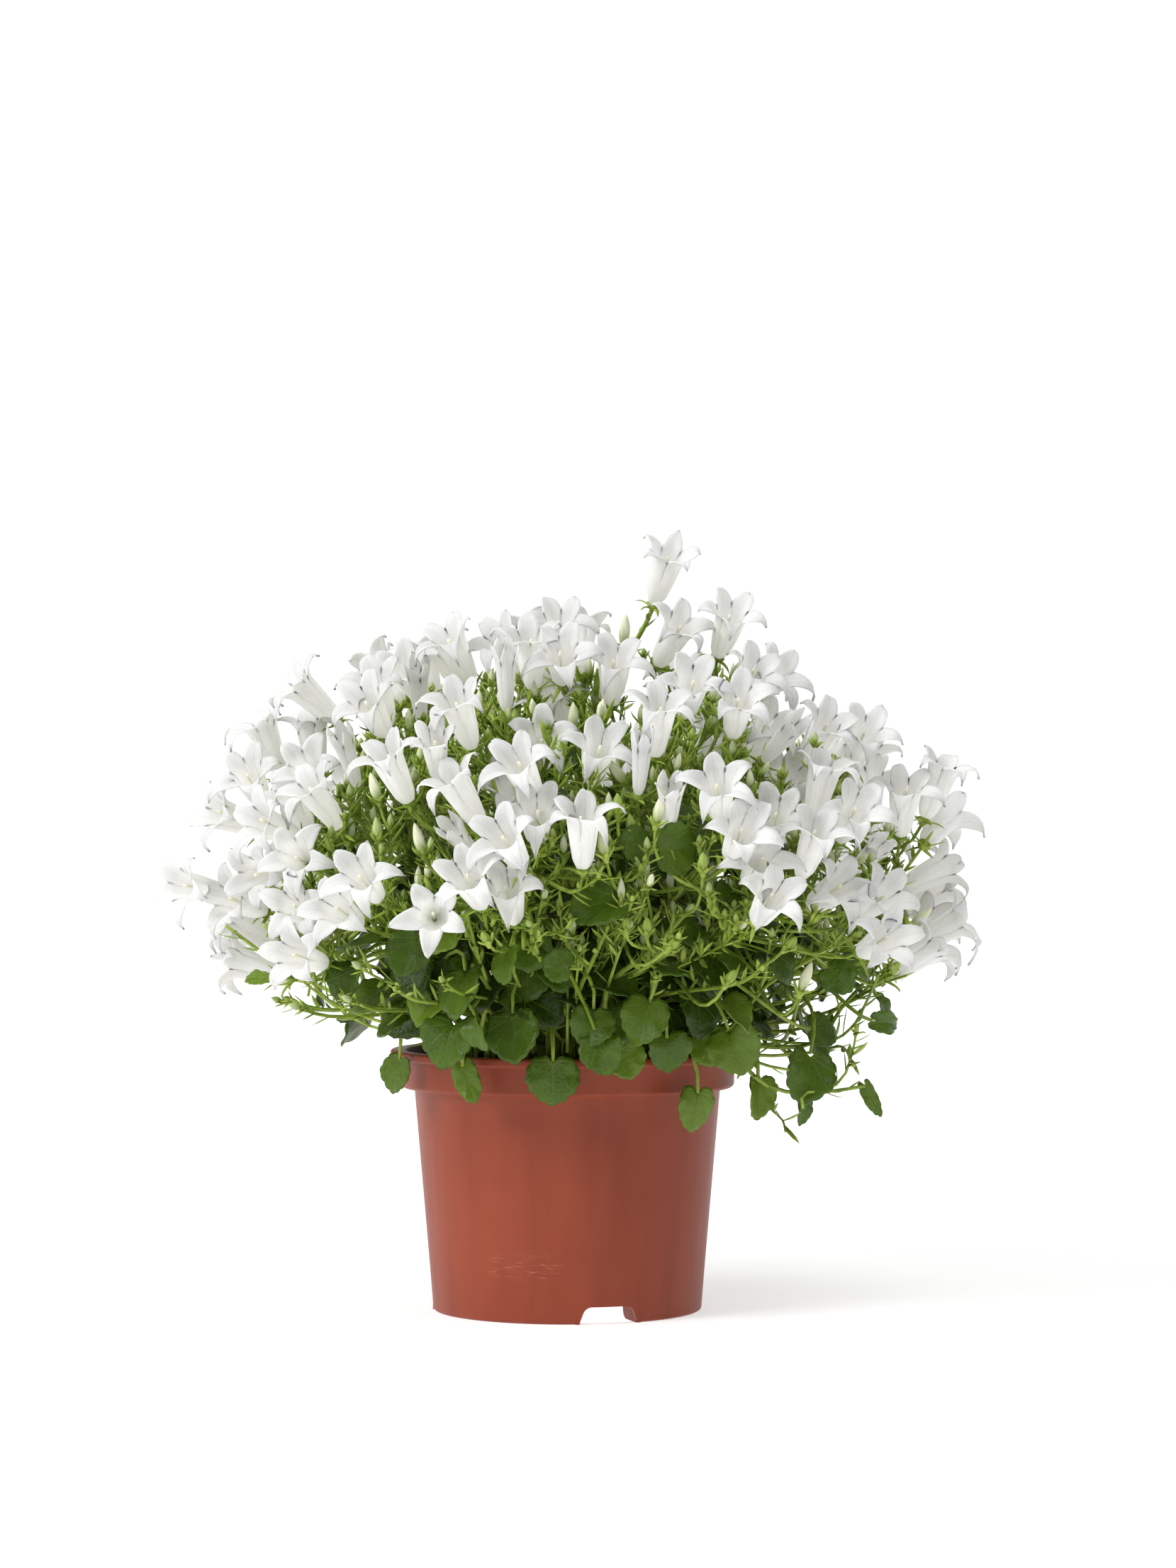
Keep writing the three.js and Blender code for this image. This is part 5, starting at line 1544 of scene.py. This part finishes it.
    def add_ground_leaves(self):
        """Leaves low round the feet of the stems"""
        rule = seeded_random(GROUND_LEAF_SEED)
        for k in range(GROUND_LEAVES):
            azimuth = FULL_TURN * golden_share(k)
            outward = around(azimuth, 1, 0)
            reach = mix(22, 74, math.sqrt(rule()))
            width = mix(10, 18, rule())
            low = 90 + width * (0.5 if reach > 42 else 0.2)
            middle = outward * reach + UP * mix(low, 122, rule() ** 1.4)
            normal = (outward * mix(0.3, 1.2, rule()) + UP * mix(0.3, 1.2, rule())).normalized()
            tip_way = outward.copy()
            tip_way.rotate(Quaternion(UP, mix(-1.4, 1.4, rule())))
            tip_way = flattened(tip_way, normal)
            normal.rotate(Quaternion(tip_way, mix(-0.6, 0.6, rule())))
            foot = middle - tip_way * (width * 0.45)
            stem = self.nearest_stem(foot)
            start = stem["footholds"][1][0]
            course = Course(start, start.lerp(foot, 0.4) + UP * 4, foot - tip_way * 5 + UP, foot)
            self.add_stalk(stem, course, 0.5, 5)
            add_blade(stem["leaves"], foot, normal, tip_way, width, self.random, False)

    def add_front_bud(self, across, up, tip_across, tip_up, nearness):
        y = -mound_depth(across, up) * nearness
        foot = from_view(across, up, y)
        way = from_view(tip_across, tip_up, y - 2) - foot
        axis, length = way.normalized(), way.length
        stem, _ = self.hang(foot, axis, STALK_RADIUS * 0.9)
        ripeness = clamp((length - 4) / 7, 0.3, 1)
        add_bud(stem["buds"], foot, axis, length, mix(1.35, 1.85, length / 13), self.random, ripeness)
        add_calyx(stem["shoots"], foot + axis * 0.8, axis, self.random, mix(3, 6, length / 13),
                  (0.3, 0.85), 1.7)

    def add_leaf(self, middle, turn, width, tilt, roll=None, slim=1.0):
        """A leaf whose node holds it, on its own stalk"""
        normal, tip_way = leaf_ways(middle, turn, tilt)
        drawn = mix(-42, 42, self.random())
        normal.rotate(Quaternion(tip_way, math.radians(drawn if roll is None else roll)))
        foot = middle - tip_way * (width * 1.05 * 0.45)
        stem, _ = self.hang(foot, (tip_way - normal * 0.4).normalized())
        foot += tip_way * (width * 0.1)
        add_blade(stem["leaves"], foot, normal, tip_way, width, self.random, True, slim)

    def add_front_leaf(self, across, up, turn, width, reach, roll=None, slim=1.0):
        tilt = math.radians(18 if up < 100 else 38)
        self.add_leaf(on_front(across, up, reach), math.radians(turn), width, tilt, roll, slim)

    def add_side_leaves(self):
        rule = seeded_random(SIDE_LEAF_SEED)
        for k in range(SIDE_LEAVES):
            azimuth = math.radians(mix(*SIDE_LEAF_SPAN, golden_share(k)))
            height = mix(90, 132, rule())
            reach = mix(76, 98, rule())
            turn = math.radians(mix(190, 350, rule()))
            width = mix(15, 20, rule())
            self.add_leaf(around(azimuth, reach, height), turn, width, math.radians(mix(15, 45, rule())))

    def add_draped_leaf(self, across, up, turn, width, slim):
        """A leaf whose stalk climbs over the pot's lip"""
        middle = on_front(across, up, max(DRAPED_REACH, abs(across) + 1))
        tilt = math.radians(mix(0, 12, self.random()))
        normal, tip_way = leaf_ways(middle, math.radians(turn), tilt)
        foot = middle - tip_way * (width * 0.4) + normal * 1.5
        outward = away_from_axis(middle)
        stem = self.nearest_stem(foot, 1)
        start = stem["footholds"][1][0]
        over = outward * (LIP_RADIUS - 4) + UP * (LIP_TOP + 26)
        course = Course(start, start.lerp(over, 0.7), foot + UP * 14 + outward * 3, foot)
        self.add_stalk(stem, course, 0.7)
        add_blade(stem["leaves"], foot, normal, tip_way, width, self.random, True, slim)

    def add_inner_leaves(self):
        """Leaves among the stems, below the blooms"""
        random = self.random
        for stem in self.stems.values():
            last = int(len(stem["footholds"]) * 0.8)
            for start, heading in stem["footholds"][2:last]:
                width = mix(7, 17, random())
                way = self.side_way(heading, 1.6)
                outward = away_from_axis(start)
                way = (way + outward * 0.7).normalized()
                foot = start + way * mix(9, 26, random())
                normal = (outward + UP * mix(0.2, 1.2, random()) + way * 0.2).normalized()
                tip_way = flattened(way, normal)
                middle = foot + tip_way * (width / 2)
                if not self.inside(middle, 0.95) or not self.clear(middle, width / 2 + 3):
                    continue
                course = Course(start, start + heading * 4, foot - tip_way * 5 - normal, foot)
                self.add_stalk(stem, course, 0.45, 5)
                add_blade(stem["leaves"], foot, normal, tip_way, width, random, False)

    def add_side_shoots(self):
        """Bristly young shoots with green buds, which fill the mound between the blooms"""
        for stem in self.stems.values():
            for start, heading in stem["footholds"][len(stem["footholds"]) // 5:]:
                self.try_side_shoot(stem, start, heading, 12, 32)

    def try_side_shoot(self, stem, start, heading, least, most):
        """A side shoot, if it finds room between the bells"""
        random = self.random
        if start.z < LOWEST_SHOOT:
            return
        for _ in range(SHOOT_TRIES):
            way = (self.side_way(heading, mix(0.3, 1.1, random())) + UP * 0.8).normalized()
            end = start + way * mix(least, most, random())
            halfway = start.lerp(end, 0.6)
            if self.inside(end, 0.99) and self.clear(end, SHOOT_TIP_GAP) and self.clear(halfway, SHOOT_GAP):
                self.add_side_shoot(stem, start, heading, end)
                break

    def add_side_shoot(self, stem, start, heading, end):
        random = self.random
        length = (end - start).length
        course = Course(start, start + heading * (length * 0.3), end - UP * (length * 0.3), end)
        self.add_stalk(stem, course, SIDE_SHOOT_RADIUS, 4)
        count = max(2, round(length / 4.5)) + 1
        self.add_bracts(stem, course, [k / count for k in range(1, count)])
        self.add_tip_bud(stem, course, mix(2.5, 9, random() ** 1.6))

    def finish_pieces(self):
        """Three pieces for each leafy stem: its shoots, leaves and buds"""
        parts = (
            ("shoots", stem_finish(), 0.0),
            ("leaves", leaf_finish(), LEAF_SHEET),
            ("buds", bud_finish(), 0.0),
        )
        for name, stem in self.stems.items():
            for part, material, sheet in parts:
                if stem[part].mesh.verts:
                    stem[part].piece(f"{part}_{name[-2:]}", material, "leafy_stems", [name], sheet)


def make_plant(blooms):
    plant = Plant(blooms)
    plant.add_stems()
    for stem in FRONT_STEMS:
        plant.add_front_stem(*stem)
    plant.add_fan_stems()
    for bloom in blooms:
        plant.add_flower(bloom)
    for bud in FRONT_BUDS:
        plant.add_front_bud(*bud)
    for leaf in FRONT_LEAVES:
        plant.add_front_leaf(*leaf)
    plant.add_side_leaves()
    for leaf in DRAPED_LEAVES:
        plant.add_draped_leaf(*leaf)
    for shoot in FRONT_SHOOTS:
        plant.add_front_shoot(*shoot)
    plant.add_inner_leaves()
    plant.add_ground_leaves()
    plant.add_side_shoots()
    plant.finish_pieces()


# Floor, light and camera

def add_light(name, place_at, aim, size, power):
    """A square soft light of a size in metres and a power in watts"""
    data = bpy.data.lights.new(name, "AREA")
    data.size = size
    data.energy = power
    made = new_object(name, data)
    made.location = place_at
    made.rotation_euler = (Vector(aim) - Vector(place_at)).to_track_quat("-Z", "Y").to_euler()


def set_floor():
    """A wide pale floor that glows, most of all far away and under the pot"""
    mesh = bmesh.new()
    bmesh.ops.create_grid(mesh, x_segments=1, y_segments=1, size=FLOOR_HALF_WIDTH)
    floor = object_of("floor", mesh)
    finish = Finish("pale_floor", Roughness=0.9, Specular_IOR_Level=0.1, Base_Color=(0.6, 0.6, 0.6, 1.0))
    distance = finish.node("VectorMath", {"operation": "LENGTH"}, {0: finish.places()}, output=1)
    under_pot = distance.ramp((FOOT_RADIUS - 5) * MM, FOOT_RADIUS * MM, 1.0, 0.0)
    finish.glow(distance.ramp(0.35, 1.8, 0.56, 0.85).most(under_pot), (0, 0, 0), (1, 1, 1))
    floor.data.materials.append(finish.material)


def set_world():
    """White light from above and behind, dim in front and to the right, with a bright ring low down"""
    world = bpy.data.worlds.new("studio")
    bpy.context.scene.world = world
    world.use_nodes = True
    room = Nodes(world.node_tree)
    x, y, z = room.split(room.node("TexCoord"))
    ring = z.ramp(0.02, 0.12, 1.0, 0.0)
    above = z.ramp(0.2, 0.75)
    backdrop = y.ramp(0.5, 0.9) * (1 - above)
    dim_side = (x * 0.8 - y * 0.6).ramp(-0.1, 0.7) * (1 - above)
    strength = (0.1 + above * 0.4 + backdrop * 0.98 - dim_side * 0.07).most(ring)
    background = world.node_tree.nodes["Background"]
    room.feed(background.inputs["Color"], (1, 1, 1, 1))
    room.feed(background.inputs["Strength"], strength)


def set_camera():
    lens = bpy.data.cameras.new("camera")
    lens.lens = LENS
    lens.clip_end = 200
    camera = new_object("camera", lens)
    camera.location = (VIEW_X * MM, -VIEW_DISTANCE * MM, VIEW_Z * MM)
    camera.rotation_euler = (math.pi / 2, 0, 0)
    bpy.context.scene.camera = camera
    bpy.context.scene.view_settings.view_transform = "Standard"


laid_blooms = lay_out_blooms()
filler_blooms = lay_out_fillers(laid_blooms)
make_pot(pot_finish())
make_soil(soil_finish())
make_blooms(laid_blooms, filler_blooms, petal_finish(), style_finish())
make_plant(laid_blooms + filler_blooms)
set_floor()
set_world()
add_light("key", (-1.4, -1.0, 1.3), (0, 0, 0.14), 0.9, 34)
add_light("top", (0.7, -0.8, 2.3), (0, 0, 0.16), 1.2, 20)
set_camera()
